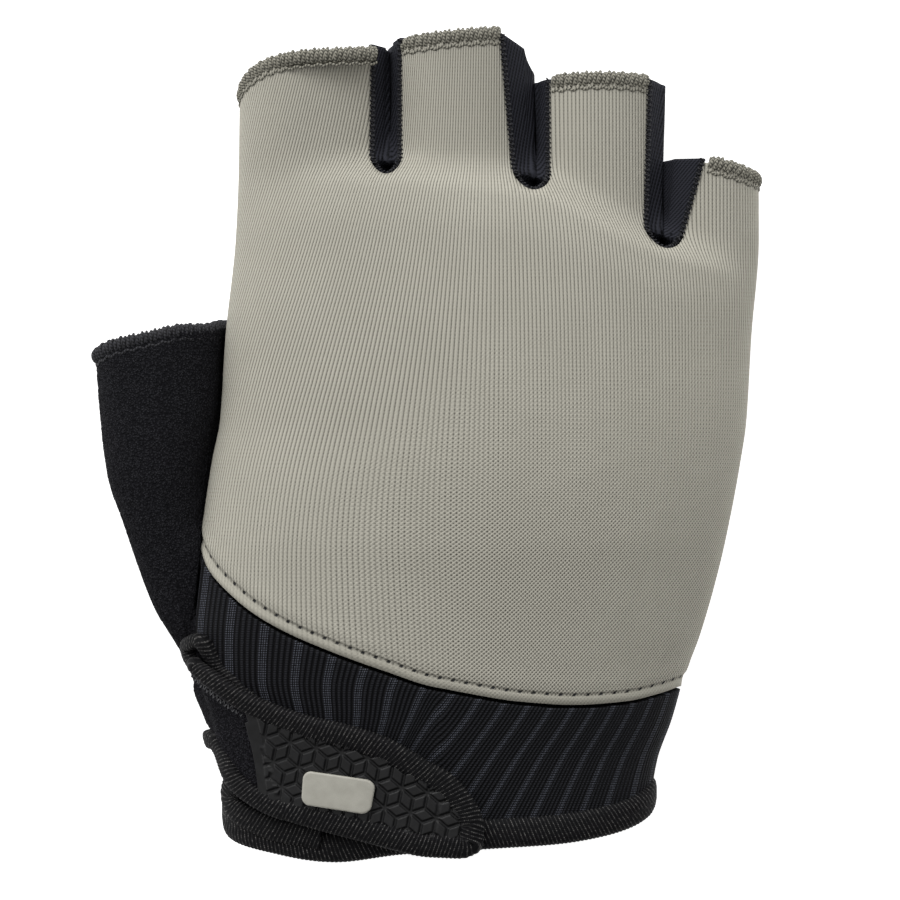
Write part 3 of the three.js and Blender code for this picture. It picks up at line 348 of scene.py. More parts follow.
def turn_over(section, x):
    """The turn at which the upper side of a tube passes over x."""
    left, right = section[:2]
    share = (2 * x - left - right) / (right - left)
    reach = np.minimum(1, np.abs(share)) ** (SQUARENESS / 2)
    return np.degrees(np.arccos(np.sign(share) * reach))


CROTCH_LINE = {
    "across": np.array(
        [hand_left(0.83)]
        + [(FINGERS[f]["backRightLow"] + FINGERS[f + 1]["backLeftLow"]) / 2 for f in range(3)]
        + [hand_right(0.71)]
    ),
    "at": np.array([0.83, *CROTCHES, 0.71]),
}
crotch_at = through(CROTCH_LINE, "across", "at")


def crotch_y(x):
    return y_at(crotch_at(x / PALM_WIDTH))


def parting(x, y):
    """How far the hand's one arch has parted into four: 0 on the hand, 1 on the fingers."""
    return ease((y - crotch_y(x) + PART_START) / FINGER_BLEND)


def over_height(section, x):
    left, right, side, crown, _ = section
    share = np.minimum(1, np.abs((2 * x - left - right) / (right - left)))
    return side + (crown - side) * (1 - share**SQUARENESS) ** (1 / SQUARENESS)


def back_height(x, y):
    over = over_height(hand_section(y), x)
    fingers = np.max([over_height(finger_section(f, y), x) for f in range(4)], axis=0)
    # The stretched knit bridges the valleys under the slots.
    most = 1.2 + 12 * ease((y - crotch_y(x) + 2) / 10)
    dip = most * np.tanh((over - fingers) / most)
    return mix(over, over - dip, parting(x, y))


def hand_point(turn, y):
    turn, y = np.broadcast_arrays(np.asarray(turn, float), np.asarray(y, float))
    plain = tube(hand_section(y), turn, y)
    part = parting(plain[..., 0], y)
    under = tube(hand_section(y, mix(HAND_CORNER, FINGER_CORNER, part)), turn, y)
    over = plain.copy()
    over[..., 2] = back_height(plain[..., 0], y)
    return np.where(((turn < 0) | (turn > 180))[..., None], under, over)


def finger_point(f, turn, y):
    turn, y = np.broadcast_arrays(np.asarray(turn, float), np.asarray(y, float))
    own = tube(finger_section(f, y), turn, y)
    part = parting(own[..., 0], y)
    below = (turn < 0) | (turn > 180)
    own[..., 2] = np.where(below, own[..., 2] * part, back_height(own[..., 0], y))
    if f == 0:
        return np.where((turn > 180)[..., None], hand_point(turn, y), own)
    if f == 3:
        return np.where((turn < 0)[..., None], hand_point(turn, y), own)
    return own


def back_turns(f, y):
    """The turns at which the back ends on a finger: right, left."""
    section = finger_section(f, y)
    right = -SEAM_TURN + 0 * y if f == 3 else turn_over(section, finger_x(f, "backRight", y))
    left = 180 + SEAM_TURN + 0 * y if f == 0 else turn_over(section, finger_x(f, "backLeft", y))
    return right, left


def finger_end(f, x, kind):
    finger = FINGERS[f]
    left, right = finger_section(f, np.array(y_at(finger[kind + "Left"])))[:2]
    share = np.clip((x - left) / (right - left), 0, 1)
    bow = finger["bow"] * np.sin(np.pi * share ** finger["bend"])
    return y_at(mix(finger[kind + "Left"], finger[kind + "Right"], share) + bow)


def finger_strip(f, short=HEM_WIDTH + SEAM_GAP):
    """One finger's strip of the back, from its crotch row to short of its end: points and turns."""
    rows, columns = FINGER_ROWS, STRIP_COLUMNS[f]
    up = np.arange(rows + 1)[:, None] / rows
    side = np.arange(columns + 1)[None, :] / columns
    y = np.full((rows + 1, columns + 1), y_at(CROTCHES[min(f, 2)]))
    turn = y * 0
    for _ in range(4):
        right, left = back_turns(f, y)
        turn = mix(right, left, side)
        x = tube(finger_section(f, y), turn, y)[..., 0]
        y = mix(crotch_y(x) + CROTCH_ROUND, finger_end(f, x, "end") - short, up)
    return finger_point(f, turn, y), turn


# The cloth itself runs on into its hem.
STRIPS = [finger_strip(f, HEM_WIDTH * 0.5) for f in range(4)]
HEM_STRIPS = [finger_strip(f) for f in range(4)]


def settle(following, start=0.0):
    """A height along the glove that agrees with the border that it depends on."""
    y = start
    for _ in range(14):
        y = mix(y, following(y), 0.7)
    return y


def between_seams(share, left):
    return mix(-SEAM_TURN, left, share)


def left_border(at):
    return np.where(at > ARC_END, back_left(at), cuff_left(at))


def turn_on(turn, y, length, place=hand_point):
    """The turn further on by a length round a tube."""
    step = np.linalg.norm(place(turn + 1, y) - place(turn - 1, y), axis=-1)
    return turn + 2 * length / step


def turn_from(border, y, length):
    """The same for a length square to a border that runs aslant."""
    turn = border(at_y(y))
    lean = hand_point(border(at_y(y + 1)), y)[..., 0] - hand_point(border(at_y(y - 1)), y)[..., 0]
    return turn_on(turn, y, length * np.hypot(1, lean / 2))


def thumb_tube(y):
    at = at_y(y)
    outer, crest = (thumb_column[name](at) * PALM_WIDTH for name in ("outer", "crest"))
    top, side = (thumb_column[name](at) * PALM_DEPTH for name in ("top", "side"))
    return (outer, 2 * crest - outer, side, top, THUMB_CORNER), crest


def thumb_point(share, y):
    """The thumb's skin. share: 0 where it meets the hand, 1 at the palm's seam under its outer side."""
    share, y = np.broadcast_arrays(np.asarray(share, float), np.asarray(y, float))
    at = at_y(y)
    border = turn_on(left_border(at), y, 2 * SEAM_GAP)
    own = hand_point(mix(border, 180 + SEAM_TURN, share), y)
    on_thumb = ease((at - 0.13) / 0.17)[..., None]
    section, crest = thumb_tube(y)
    turn = mix(90, 180 + SEAM_TURN, (share - CREST_SHARE) / (1 - CREST_SHARE))
    outer = mix(own, tube(section, turn, y), on_thumb)

    def slope_to(foot, part):
        part = np.clip(part, 0, 1)
        power = 2 / THUMB_LEAN
        x = mix(crest, foot[..., 0], np.abs(sind(90 * (1 - part))) ** power)
        return point(x, y, mix(foot[..., 2], section[3], np.abs(cosd(90 * (1 - part))) ** power))

    shift = np.array([-THUMB_CLEAR, 0, 0])
    mound = slope_to(hand_point(border, y), share / CREST_SHARE)
    reach = share / TUCK_SHARE
    tucked = np.where(
        (reach < 1)[..., None],
        hand_point(mix(border, 186, np.minimum(reach, 1)), y) + shift * np.minimum(reach, 1)[..., None],
        slope_to(hand_point(186, y) + shift, (share - TUCK_SHARE) / (CREST_SHARE - TUCK_SHARE)),
    )
    mound = mix(mound, tucked, ease((border - 186) / 20)[..., None])
    inner = mix(own, mound, on_thumb)
    return np.where((share > CREST_SHARE)[..., None], outer, inner)


def skin(turn, y):
    """One skin round the wrist: the hand's, and past its left border the thumb's."""
    turn, y = np.broadcast_arrays(np.asarray(turn, float), np.asarray(y, float))
    border = left_border(at_y(y))
    on_hand = hand_point(np.minimum(turn, border), y)
    share = np.clip((turn - border) / (180 + SEAM_TURN - border), 0, 1)
    on_thumb = thumb_point(share, y)
    under = tube(thumb_tube(y)[0], turn, y)
    result = np.where((turn <= border)[..., None], on_hand, on_thumb)
    return np.where((turn > 180 + SEAM_TURN)[..., None], under, result)


def skin_normal(turn, y):
    round_it = skin(turn + 1.5, y) - skin(turn - 1.5, y)
    along = skin(turn, y + 1) - skin(turn, y - 1)
    return unit(np.cross(along, round_it))


def over_skin(turn, y, height):
    return skin(turn, y) + skin_normal(turn, y) * np.asarray(height)[..., None]


def cloth_foot(turn):
    return y_at(wrist_edge(turn)) + BINDING_WIDTH + SEAM_GAP


# Meshes.
def make(name, node, points, faces, uv, material, slot, seam=None):
    """A piece from points in millimetres, in place of a node of the part."""
    mesh = bpy.data.meshes.new(name)
    mesh.from_pydata((np.asarray(points) * 0.001).tolist(), [], [list(f) for f in faces])
    loops = np.empty(len(mesh.loops), int)
    mesh.loops.foreach_get("vertex_index", loops)
    for label, values in (("UVMap", uv), ("Seam", seam)):
        if values is not None:
            layer = mesh.uv_layers.new(name=label)
            layer.uv.foreach_set("vector", np.asarray(values, float)[loops].ravel())
    mesh.polygons.foreach_set("use_smooth", [True] * len(mesh.polygons))
    mesh.validate()
    mesh.update()
    piece = bpy.data.objects.new(name, mesh)
    bpy.context.collection.objects.link(piece)
    mesh.materials.append(material)
    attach(piece, "root")
    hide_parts(node)
    return piece


CORNERS = [(0, 0), (0, 1), (1, 0), (1, 1)]


def grid_normals(grid, there):
    """Outward normals of a grid whose rows run up and whose columns run left, seen from outside."""
    cells = there[:-1, :-1] & there[1:, :-1] & there[:-1, 1:] & there[1:, 1:]
    filled = np.where(there[..., None], grid, 0)
    across = filled[1:, 1:] - filled[:-1, :-1]
    other = filled[:-1, 1:] - filled[1:, :-1]
    facing = np.cross(across, other) * cells[..., None]
    total = np.zeros(grid.shape)
    for di, dj in CORNERS:
        total[di : di + facing.shape[0], dj : dj + facing.shape[1]] += facing
    return unit(total), cells


def wall(name, node, grid, thickness, uv, material, slot, lift=0.0, seam=None):
    """A closed thin wall from a grid of points on its outer face. NaN points are cut away."""
    there = ~np.isnan(grid[..., 0])
    normal, cells = grid_normals(grid, there)
    rows, columns = there.shape
    outer = grid + normal * np.asarray(lift)[..., None]
    inner = grid - normal * thickness
    used = np.zeros(there.shape, bool)
    for di, dj in CORNERS:
        used[di : di + rows - 1, dj : dj + columns - 1] |= cells
    count = int(used.sum())
    number = np.full(there.shape, -1)
    number[used] = np.arange(count)
    points = np.concatenate([outer[used], inner[used]])
    a, b = number[:-1, :-1][cells], number[1:, :-1][cells]
    c, d = number[1:, 1:][cells], number[:-1, 1:][cells]
    faces = [np.stack([a, b, c, d], 1), np.stack([d, c, b, a], 1) + count]
    padded = np.pad(cells, 1)
    mid = padded[1:-1, 1:-1]
    for other, (p, q) in (
        (padded[1:-1, :-2], (number[1:, :-1], number[:-1, :-1])),
        (padded[1:-1, 2:], (number[:-1, 1:], number[1:, 1:])),
        (padded[:-2, 1:-1], (number[:-1, :-1], number[:-1, 1:])),
        (padded[2:, 1:-1], (number[1:, 1:], number[1:, :-1])),
    ):
        edge = mid & ~other
        p, q = p[edge], q[edge]
        faces.append(np.stack([p, q, q + count, p + count], 1))
    faces = np.concatenate(faces)
    uv, seam = (None if v is None else np.concatenate([v[used], v[used]]) for v in (uv, seam))
    return make(name, node, points, faces, uv, material, slot, seam)


def lengths_along(points):
    """Distance along a line of points."""
    steps = np.linalg.norm(np.diff(points, axis=0), axis=1)
    return np.concatenate([[0], np.cumsum(steps)])


def lengths_across(grid):
    """Distance along each row of a grid."""
    steps = np.linalg.norm(np.diff(grid, axis=1), axis=2)
    return np.concatenate([np.zeros((len(grid), 1)), np.cumsum(steps, 1)], 1)


def even(points, spacing, *others, closed=False):
    """The same line with evenly spaced points, and other columns carried with it."""
    if closed:
        points = np.concatenate([points, points[:1]])
        others = [np.concatenate([o, o[:1]]) for o in others]
    along = lengths_along(points)
    n = max(2, int(round(along[-1] / spacing)) + 1)
    at = np.linspace(0, along[-1], n)
    if closed:
        at = at[:-1]
    line, *rest = (np.stack([np.interp(at, along, v) for v in values.T], 1) for values in (points, *others))
    return line, rest, at


def frames_along(points, normals, closed=False):
    """Across, normal and tangent at each point of a line."""
    if closed:
        tangent = unit(np.roll(points, -1, 0) - np.roll(points, 1, 0))
    else:
        tangent = unit(np.gradient(points, axis=0))
    across = unit(np.cross(normals, tangent))
    return across, unit(np.cross(tangent, across)), tangent


def sweep(points, normals, section, closed=False, scale=None):
    """Points and faces of a closed section swept along a line, with a scale at each point."""
    across, normal, _ = frames_along(points, normals, closed)
    section = np.asarray(section, float)
    n, k = len(points), len(section)
    sections = np.broadcast_to(section, (n, k, 2)) if scale is None else section[None] * scale
    ring = points[:, None] + across[:, None] * sections[..., :1] + normal[:, None] * sections[..., 1:]
    i = np.arange(n if closed else n - 1)[:, None]
    j = np.arange(k)[None, :]
    a = i * k + j
    b = i * k + (j + 1) % k
    c = ((i + 1) % n) * k + (j + 1) % k
    d = ((i + 1) % n) * k + j
    faces = np.stack([a, b, c, d], -1).reshape(-1, 4)
    ends = [] if closed else [list(range(k))[::-1], [(n - 1) * k + m for m in range(k)]]
    return ring.reshape(-1, 3), [list(f) for f in faces] + ends


def rounded(width, thickness, sides, power=0.6):
    """A rounded oblong section."""
    turn = 360 * (np.arange(sides) + 0.5) / sides
    sizes = ((width, cosd(turn)), (thickness, sind(turn)))
    return np.stack([size / 2 * np.sign(way) * np.abs(way) ** power for size, way in sizes], 1)


def join(parts):
    """Several (points, faces, uv) as one."""
    points, faces, uvs, start = [], [], [], 0
    for p, f, uv in parts:
        points.append(p)
        faces += [[v + start for v in face] for face in f]
        uvs.append(uv)
        start += len(p)
    return np.concatenate(points), faces, np.concatenate(uvs)


# Materials.
def srgb(red, green, blue):
    """A colour as a renderer takes it, from the 0 to 255 of a screen."""
    c = np.array([red, green, blue]) / 255
    linear = np.where(c <= 0.04045, c / 12.92, ((c + 0.055) / 1.055) ** 2.4)
    return (*linear.tolist(), 1.0)


def worked(operation, swapped=False):
    def apply(self, other):
        return self.shader.math(operation, *((other, self) if swapped else (self, other)))

    return apply


class Value:
    """A number or a colour in a material's nodes."""

    def __init__(self, shader, socket):
        self.shader = shader
        self.socket = socket

    __add__ = worked("ADD")
    __sub__ = worked("SUBTRACT")
    __rsub__ = worked("SUBTRACT", swapped=True)
    __mul__ = worked("MULTIPLY")
    __truediv__ = worked("DIVIDE")
    __pow__ = worked("POWER")

    def ridge(self):
        """0 in the middle of each whole step, 1 at its ends."""
        return self.shader.math("ABSOLUTE", self.shader.math("FRACT", self) * 2.0 - 1.0)

    def range(self, low, high, to_low=0.0, to_high=1.0):
        """A smooth step from one number to another."""
        values = dict(enumerate((self, low, high, to_low, to_high)))
        return self.shader.node("ShaderNodeMapRange", values, interpolation_type="SMOOTHSTEP")


class Shader:
    """One material's nodes."""

    def __init__(self, name):
        self.material = bpy.data.materials.new(name)
        self.material.use_nodes = True
        self.tree = self.material.node_tree
        self.tree.nodes.clear()
        self.bsdf = self.add("ShaderNodeBsdfPrincipled")
        self.tree.links.new(self.bsdf.outputs[0], self.add("ShaderNodeOutputMaterial").inputs[0])

    def add(self, kind, **settings):
        node = self.tree.nodes.new(kind)
        for key, value in settings.items():
            setattr(node, key, value)
        return node

    def put(self, value, socket):
        """A value, a number, a screen colour of three numbers or a linear one of four."""
        if isinstance(value, Value):
            self.tree.links.new(value.socket, socket)
        elif isinstance(value, tuple) and len(value) == 3:
            socket.default_value = srgb(*value)
        else:
            socket.default_value = value

    def node(self, kind, values, output=0, **settings):
        node = self.add(kind, **settings)
        for key, value in values.items():
            self.put(value, node.inputs[key])
        return Value(self, node.outputs[output])

    def math(self, operation, *values):
        return self.node("ShaderNodeMath", dict(enumerate(values)), operation=operation)

    def mixed(self, share, a, b):
        return self.node("ShaderNodeMix", {0: share, 6: a, 7: b}, 2, data_type="RGBA")

    def uv(self, layer="UVMap"):
        node = self.add("ShaderNodeUVMap", uv_map=layer)
        split = self.add("ShaderNodeSeparateXYZ")
        self.tree.links.new(node.outputs[0], split.inputs[0])
        return [Value(self, socket) for socket in (node.outputs[0], split.outputs[0], split.outputs[1])]

    def place(self):
        """Position in the object, in metres."""
        return self.node("ShaderNodeTexCoord", {}, "Object")

    def noise(self, vector, scale, detail=3.0, roughness=0.5):
        values = {"Vector": vector, "Scale": scale, "Detail": detail, "Roughness": roughness}
        return self.node("ShaderNodeTexNoise", values)

    def bump(self, height, distance, strength, after=None):
        values = {"Strength": strength, "Distance": distance, "Height": height}
        if after is not None:
            values["Normal"] = after
        return self.node("ShaderNodeBump", values)

    def finish(self, color, roughness, normal=None, **plain):
        values = {"Base_Color": color, "Roughness": roughness, **plain}
        if normal is not None:
            values["Normal"] = normal
        for key, value in values.items():
            self.put(value, self.bsdf.inputs[key.replace("_", " ")])
        return self.material


def grey_knit():
    m = Shader("grey_knit")
    vector, u, v = m.uv()
    _, along, up = m.uv("Seam")
    # Fine holes in a staggered lattice, and higher up the wales drawn into lines.
    rising = (u / 0.74 + v / 0.74).ridge()
    falling = (u / 0.74 - v / 0.74).ridge()
    holes = rising * falling * 0.8 + falling * 0.22
    wale = (u / 0.7).ridge()
    course = (wale * 0.45 + v / 0.64).ridge()
    gaps = course**3.0 * 0.14 + wale**2.0 * 0.64
    drawn = m.math("MINIMUM", up.range(20.0, 80.0, 0.1, 1.0) + u.range(14.0, -16.0, 0.0, 0.75), 1.0)
    height = 1.0 - m.mixed(drawn, holes, gaps)
    brushed = m.noise(vector, 3.2, 4)
    patchy = m.noise(vector, 0.09, 2)
    # Sewn holes above the seam, joined by a fine sunken line, and the smoother turned band under them.
    hole_near = m.math("ABSOLUTE", m.math("FRACT", (up * 0.6 + along) / 2.43) - 0.5)
    row_near = m.math("ABSOLUTE", up - 1.75)
    hole = hole_near.range(0.06, 0.17, 1.0, 0.0) * row_near.range(0.12, 0.34, 1.0, 0.0)
    groove = row_near.range(0.0, 0.55, 1.0, 0.0)
    height = m.mixed(up.range(1.3, 1.7, 1.0, 0.0) * 0.7, height, (0.7, 0.7, 0.7, 1))
    # The stitch colour follows the relief: holes and gaps are painted dark, painted shade in the knit's
    # recesses.
    cloth = m.mixed(height.range(0.1, 0.9), (60, 58, 52), (178, 175, 163))
    cloth = m.mixed(brushed.range(0.4, 0.75) * 0.25, cloth, (176, 173, 162))
    cloth = m.mixed(patchy.range(0.3, 0.7) * 0.08, cloth, (130, 127, 116))
    # Painted shade along the sunken line under the stitches.
    cloth = m.mixed(groove * 0.35, cloth, (88, 86, 79))
    # Painted shade in the sewn holes.
    cloth = m.mixed(hole * 0.95, cloth, (22, 25, 32))
    normal = m.bump(height, 0.0003, 0.7)
    normal = m.bump(brushed, 0.0001, 0.4, normal)
    normal = m.bump(groove * -0.5 + hole * -0.7, 0.0005, 0.8, normal)
    return m.finish(cloth, 0.92, normal, Specular_IOR_Level=0.15)


def black_terry():
    m = Shader("black_terry")
    place = m.place()
    fuzz = m.noise(place, 6000.0, 4, 0.65)
    tufts = 1.0 - m.node("ShaderNodeTexVoronoi", {"Vector": place, "Scale": 2600.0})
    height = tufts + fuzz * 0.6
    # Colour follows the loops' height: painted shade low between the tufts, lighter on their tops.
    cloth = m.mixed(height.range(0.7, 1.35), (23, 23, 26), (55, 55, 59))
    # Painted highlights: pale specks where the fuzz is high.
    cloth = m.mixed(fuzz.range(0.6, 0.74) * 0.35, cloth, (74, 74, 78))
    return m.finish(cloth, 0.95, m.bump(height, 0.0006, 0.8), Specular_IOR_Level=0.08)


def black_suede():
    m = Shader("black_suede")
    place = m.place()
    nap = m.noise(place, 900.0, 5, 0.6)
    patchy = m.noise(place, 60.0, 3)
    cloth = m.mixed(nap.range(0.3, 0.7), (14, 14, 16), (34, 34, 37))
    cloth = m.mixed(patchy.range(0.4, 0.7) * 0.3, cloth, (44, 44, 47))
    return m.finish(cloth, 0.9, m.bump(nap, 0.0003, 0.5), Specular_IOR_Level=0.1)


def black_rib():
    m = Shader("black_rib")
    vector, u, v = m.uv()
    rib = u.ridge()
    # A dotted group of ribs in every six.
    special = m.math("LESS_THAN", m.math("FRACT", u / 6.0), 1.6 / 6)
    fine = (u * 2.5).ridge()
    dots = (v / 0.42).ridge()
    speck = m.noise(vector, 2.2, 3)
    # Painted highlights: lighter dotted specks along each rib's crest.
    crest = m.mixed(dots.range(0.2, 0.8), (38, 39, 43), (14, 14, 17))
    # Painted shade: the valleys between the ribs are near black.
    plain = m.mixed(rib.range(0.2, 0.75), crest, (3, 3, 5))
    bright = fine.range(0.3, 0.8, 1.0, 0.0) * dots.range(0.3, 0.8, 1.0, 0.0)
    dotted = m.mixed(bright, (7, 7, 9), (84, 87, 96))
    cloth = m.mixed(special * speck.range(0.25, 0.6, 0.35, 0.9), plain, dotted)
    cloth = m.mixed(speck.range(0.62, 0.8) * 0.35, cloth, (62, 63, 68))
    normal = m.bump(1.0 - rib**2.0, 0.0003, 0.7)
    normal = m.bump(1.0 - dots, 0.00008, 0.4, normal)
    return m.finish(cloth, 0.8, normal, Specular_IOR_Level=0.12)


def black_tape():
    m = Shader("black_tape")
    vector, u, v = m.uv()
    fine = (v / 0.34).ridge()
    # Painted highlight: a bright, finely lined crest on each rib of the tape.
    crest = m.mixed(fine.range(0.2, 0.9), (108, 106, 103), (40, 40, 42))
    crest = m.mixed(m.noise(vector, 1.6, 3).range(0.4, 0.7), (26, 26, 28), crest)
    # Painted shade between the tape's ribs.
    cloth = m.mixed(u.ridge().range(0.05, 0.42), crest, (4, 4, 6))
    return m.finish(cloth, 0.75, m.bump(1.0 - fine, 0.00005, 0.4), Specular_IOR_Level=0.15)


def black_strip():
    m = Shader("black_strip")
    vector, u, v = m.uv()
    line = ((v * 0.5 + u) / 0.75).ridge()
    cross = (v / 0.5).ridge()
    height = 1.0 - line * (cross * 0.4 + 0.6)
    # Colour follows the knit's relief: painted shade in its lines.
    cloth = m.mixed(height.range(0.1, 0.9), (11, 12, 15), (45, 46, 53))
    cloth = m.mixed(m.noise(vector, 2.5, 3).range(0.5, 0.8) * 0.3, cloth, (60, 60, 68))
    return m.finish(cloth, 0.85, m.bump(height, 0.0002, 0.8), Specular_IOR_Level=0.12)


def black_rubber():
    m = Shader("black_rubber")
    vector, _, _ = m.uv()
    fine = m.noise(vector, 4.0, 4)
    rubber = m.mixed(m.noise(vector, 0.5, 3).range(0.35, 0.7), (13, 13, 14), (22, 22, 23))
    normal = m.bump(fine, 0.00003, 0.4)
    return m.finish(rubber, fine.range(0.3, 0.7, 0.42, 0.58), normal, Specular_IOR_Level=0.3)


def thread(name, light, dark):
    m = Shader(name)
    vector, u, v = m.uv()
    twist = (u / 0.55 + v).ridge()
    # Painted shade between the plies of the twist, lighter on their crowns.
    cloth = m.mixed(twist.range(0.1, 0.95), light, dark)
    cloth = m.mixed(m.noise(vector, 2.0, 2).range(0.5, 0.8) * 0.3, cloth, dark)
    return m.finish(cloth, 0.8, m.bump(1.0 - twist, 0.00006, 0.5), Specular_IOR_Level=0.3)


def badge_grey():
    m = Shader("badge_grey")
    vector, _, _ = m.uv()
    grain = m.noise(vector, 6.0, 3)
    plate = m.mixed(m.noise(vector, 0.4, 2).range(0.3, 0.7), (158, 156, 146), (168, 166, 156))
    plate = m.mixed(grain.range(0.4, 0.7) * 0.25, plate, (138, 136, 127))
    normal = m.bump(grain, 0.00002, 0.3)
    return m.finish(plate, grain.range(0.3, 0.7, 0.38, 0.5), normal, Specular_IOR_Level=0.5)


def pale_floor():
    m = Shader("pale_floor")
    color = m.mixed(m.noise(m.place(), 6.0, 2), (0.9, 0.9, 0.9, 1), (0.93, 0.93, 0.93, 1))
    return m.finish(
        color, 0.9, Specular_IOR_Level=0.1, Emission_Color=(1, 1, 1, 1), Emission_Strength=0.8
    )


GREY_KNIT = grey_knit()
TERRY = black_terry()
SUEDE = black_suede()
RIB = black_rib()
TAPE = black_tape()
STRIP = black_strip()
RUBBER = black_rubber()
GREY_THREAD = thread("grey_hem_thread", (150, 147, 135), (62, 61, 55))
DARK_THREAD = thread("dark_thread", (104, 104, 106), (40, 40, 43))
BLACK_THREAD = thread("black_hem_thread", (56, 56, 60), (16, 16, 18))
BADGE_GREY = badge_grey()


# The grey back.
def back_top():
    """The crotch row from right to left: points, turns on the hand, finger (or -1) and its column."""
    points, turns, owners = [], [], []
    for f in (3, 2, 1, 0):
        row, turn = STRIPS[f][0][0], STRIPS[f][1][0]
        over = turn_over(hand_section(row[:, 1]), row[:, 0])
        points.append(row)
        turns.append(np.where((turn < 0) | (turn > 180), turn, over))
        owners += [(f, k) for k in range(len(row))]
        if f == 0:
            break
        share = (np.arange(1, SLOT_COLUMNS) / SLOT_COLUMNS)[:, None]
        foot = mix(row[-1][None], STRIPS[f - 1][0][0][0][None], share)
        foot[:, 1] -= CROTCH_ROUND * np.sin(np.pi * share[:, 0]) ** CROTCH_CURVE
        foot[:, 2] = back_height(foot[:, 0], foot[:, 1])
        points.append(foot)
        turns.append(turn_over(hand_section(foot[:, 1]), foot[:, 0]))
        owners += [(-1, k) for k in range(SLOT_COLUMNS - 1)]
    return np.concatenate(points), np.concatenate(turns), owners


def back_panel():
    top, turn, owners = back_top()
    share = (turn + SEAM_TURN) / (180 + 2 * SEAM_TURN)
    foot = settle(lambda y: y_at(arc_seam(between_seams(share, back_left(at_y(y))))), turn * 0)
    up = np.arange(HAND_ROWS)[:, None] / HAND_ROWS
    y = mix(foot[None], top[None, :, 1], up)
    hand = hand_point(between_seams(share[None], back_left(at_y(y))), y)
    tall = np.full((FINGER_ROWS, len(top), 3), np.nan)
    for j, (f, k) in enumerate(owners):
        if f >= 0:
            tall[:, j] = STRIPS[f][0][1:, k]
    grid = np.concatenate([hand, top[None], tall])
    filled = np.where(np.isnan(grid), 0, grid)
    # Knit coordinates: across, growing down the rounded sides, and along. The wales lean by the first finger.
    x = filled[..., 0]
    across = x + 0.6 * np.tanh((x - 10) / 15) * (KNUCKLE_TOP - filled[..., 2])
    height = filled[..., 1]
    lean = WALE_LEAN * ease((18 - x) / 58)
    across = across - lean * (10 * np.log1p(np.exp((height + 5) / 10)) - 35)
    uv = np.stack([across, height], -1)
    # Along the arc seam, and up from it.
    along = lengths_along(hand[0])
    run = np.linalg.norm(np.gradient(hand[0], axis=0), axis=1)
    slope = np.abs(np.gradient(hand[0][:, 1])) / np.maximum(run, 1e-6)
    rise = (height - hand[0][None, :, 1]) * np.sqrt(1 - np.minimum(slope, 0.9) ** 2)[None]
    seam = np.stack([np.broadcast_to(along[None], rise.shape), rise], -1)
    # The turned band at the arc is a little fuller than the cloth above its stitches.
    lift = -0.35 * np.exp(-(((rise - 1.5) / 0.7) ** 2)) + 0.1 * np.exp(-(((rise - 3.2) / 1.2) ** 2))
    return wall("back_cloth", "back_panel", grid, BACK_WALL, uv, GREY_KNIT, "grey_knit", lift, seam)


BACK_CLOTH = back_panel()


# The ribbed cuff. Each rib keeps its own line from the wrist to the arc, leaning as the knit was pulled.
RIB_LEAN = table(
    "top shift pitch",
    (-45, 0, 0.62), (10, 5, 0.6), (30, 12, 0.6), (60, 16, 0.66), (80, 18, 0.75), (100, 12, 0.9),
    (120, 6, 1.0), (140, 2, 1.05), (171, 0, 1.05),
)
rib_lean = through(RIB_LEAN, "top", "shift")
rib_pitch = through(RIB_LEAN, "top", "pitch")


def cuff_panel():
    rows, columns = 40, 420
    top_turn = mix(-SEAM_TURN, CUFF_LEFT_TURN, np.arange(columns + 1) / columns)

    def turn_for(along):
        return top_turn + rib_lean(top_turn) * (1 - along)

    foot = cloth_foot(turn_for(0)) - UNDER_TAPE
    top = y_at(arc_seam(top_turn)) - 2 * SEAM_GAP
    # A rib that reaches the wrist slit starts at its edge.
    tries = np.linspace(0, 1, 300)[:, None]
    outside = turn_for(tries) > turn_from(cuff_left, mix(foot, top, tries), -1.0)
    start = tries[:, 0][np.where(outside.any(0), 300 - outside[::-1].argmax(0), 0).clip(0, 299)]
    along = mix(np.minimum(start, 0.97), 1, np.arange(rows + 1)[:, None] / rows)
    grid = hand_point(turn_for(along), mix(foot, top, along))
    middle = hand_point(top_turn, y_at(0.2) + 0 * top_turn)
    step = np.diff(lengths_along(middle))
    rib = np.concatenate([[0], np.cumsum(step / rib_pitch(top_turn[1:]))])
    uv = np.stack(np.broadcast_arrays(rib, mix(foot, top, along)), -1)
    return wall("cuff_cloth", "cuff_panel", grid, CUFF_WALL, uv, RIB, "black_rib")


CUFF_CLOTH = cuff_panel()


# The terry thumb.
def thumb_panel():
    rows, columns = 170, 130
    share = np.arange(columns + 1)[None, :] / columns
    up = np.arange(rows + 1)[:, None] / rows
    low = cloth_foot(mix(cuff_left(SLIT_FOOT_AT), 180 + SEAM_TURN, share)) - UNDER_TAPE
    y = np.broadcast_to(low, (rows + 1, columns + 1)).astype(float)
    for _ in range(4):
        end = y_at(thumb_end(thumb_point(share, y)[..., 0] / PALM_WIDTH)) - THUMB_HEM_WIDTH * 0.5
        y = mix(low, end, up)
    grid = thumb_point(share, y)
    lift = 0.22 * np.random.default_rng(7).random(y.shape) - 0.1
    uv = np.stack([lengths_across(grid), y], -1)
    return wall("thumb_cloth", "thumb_panel", grid, THUMB_WALL, uv, TERRY, "black_terry", lift)


THUMB_CLOTH = thumb_panel()


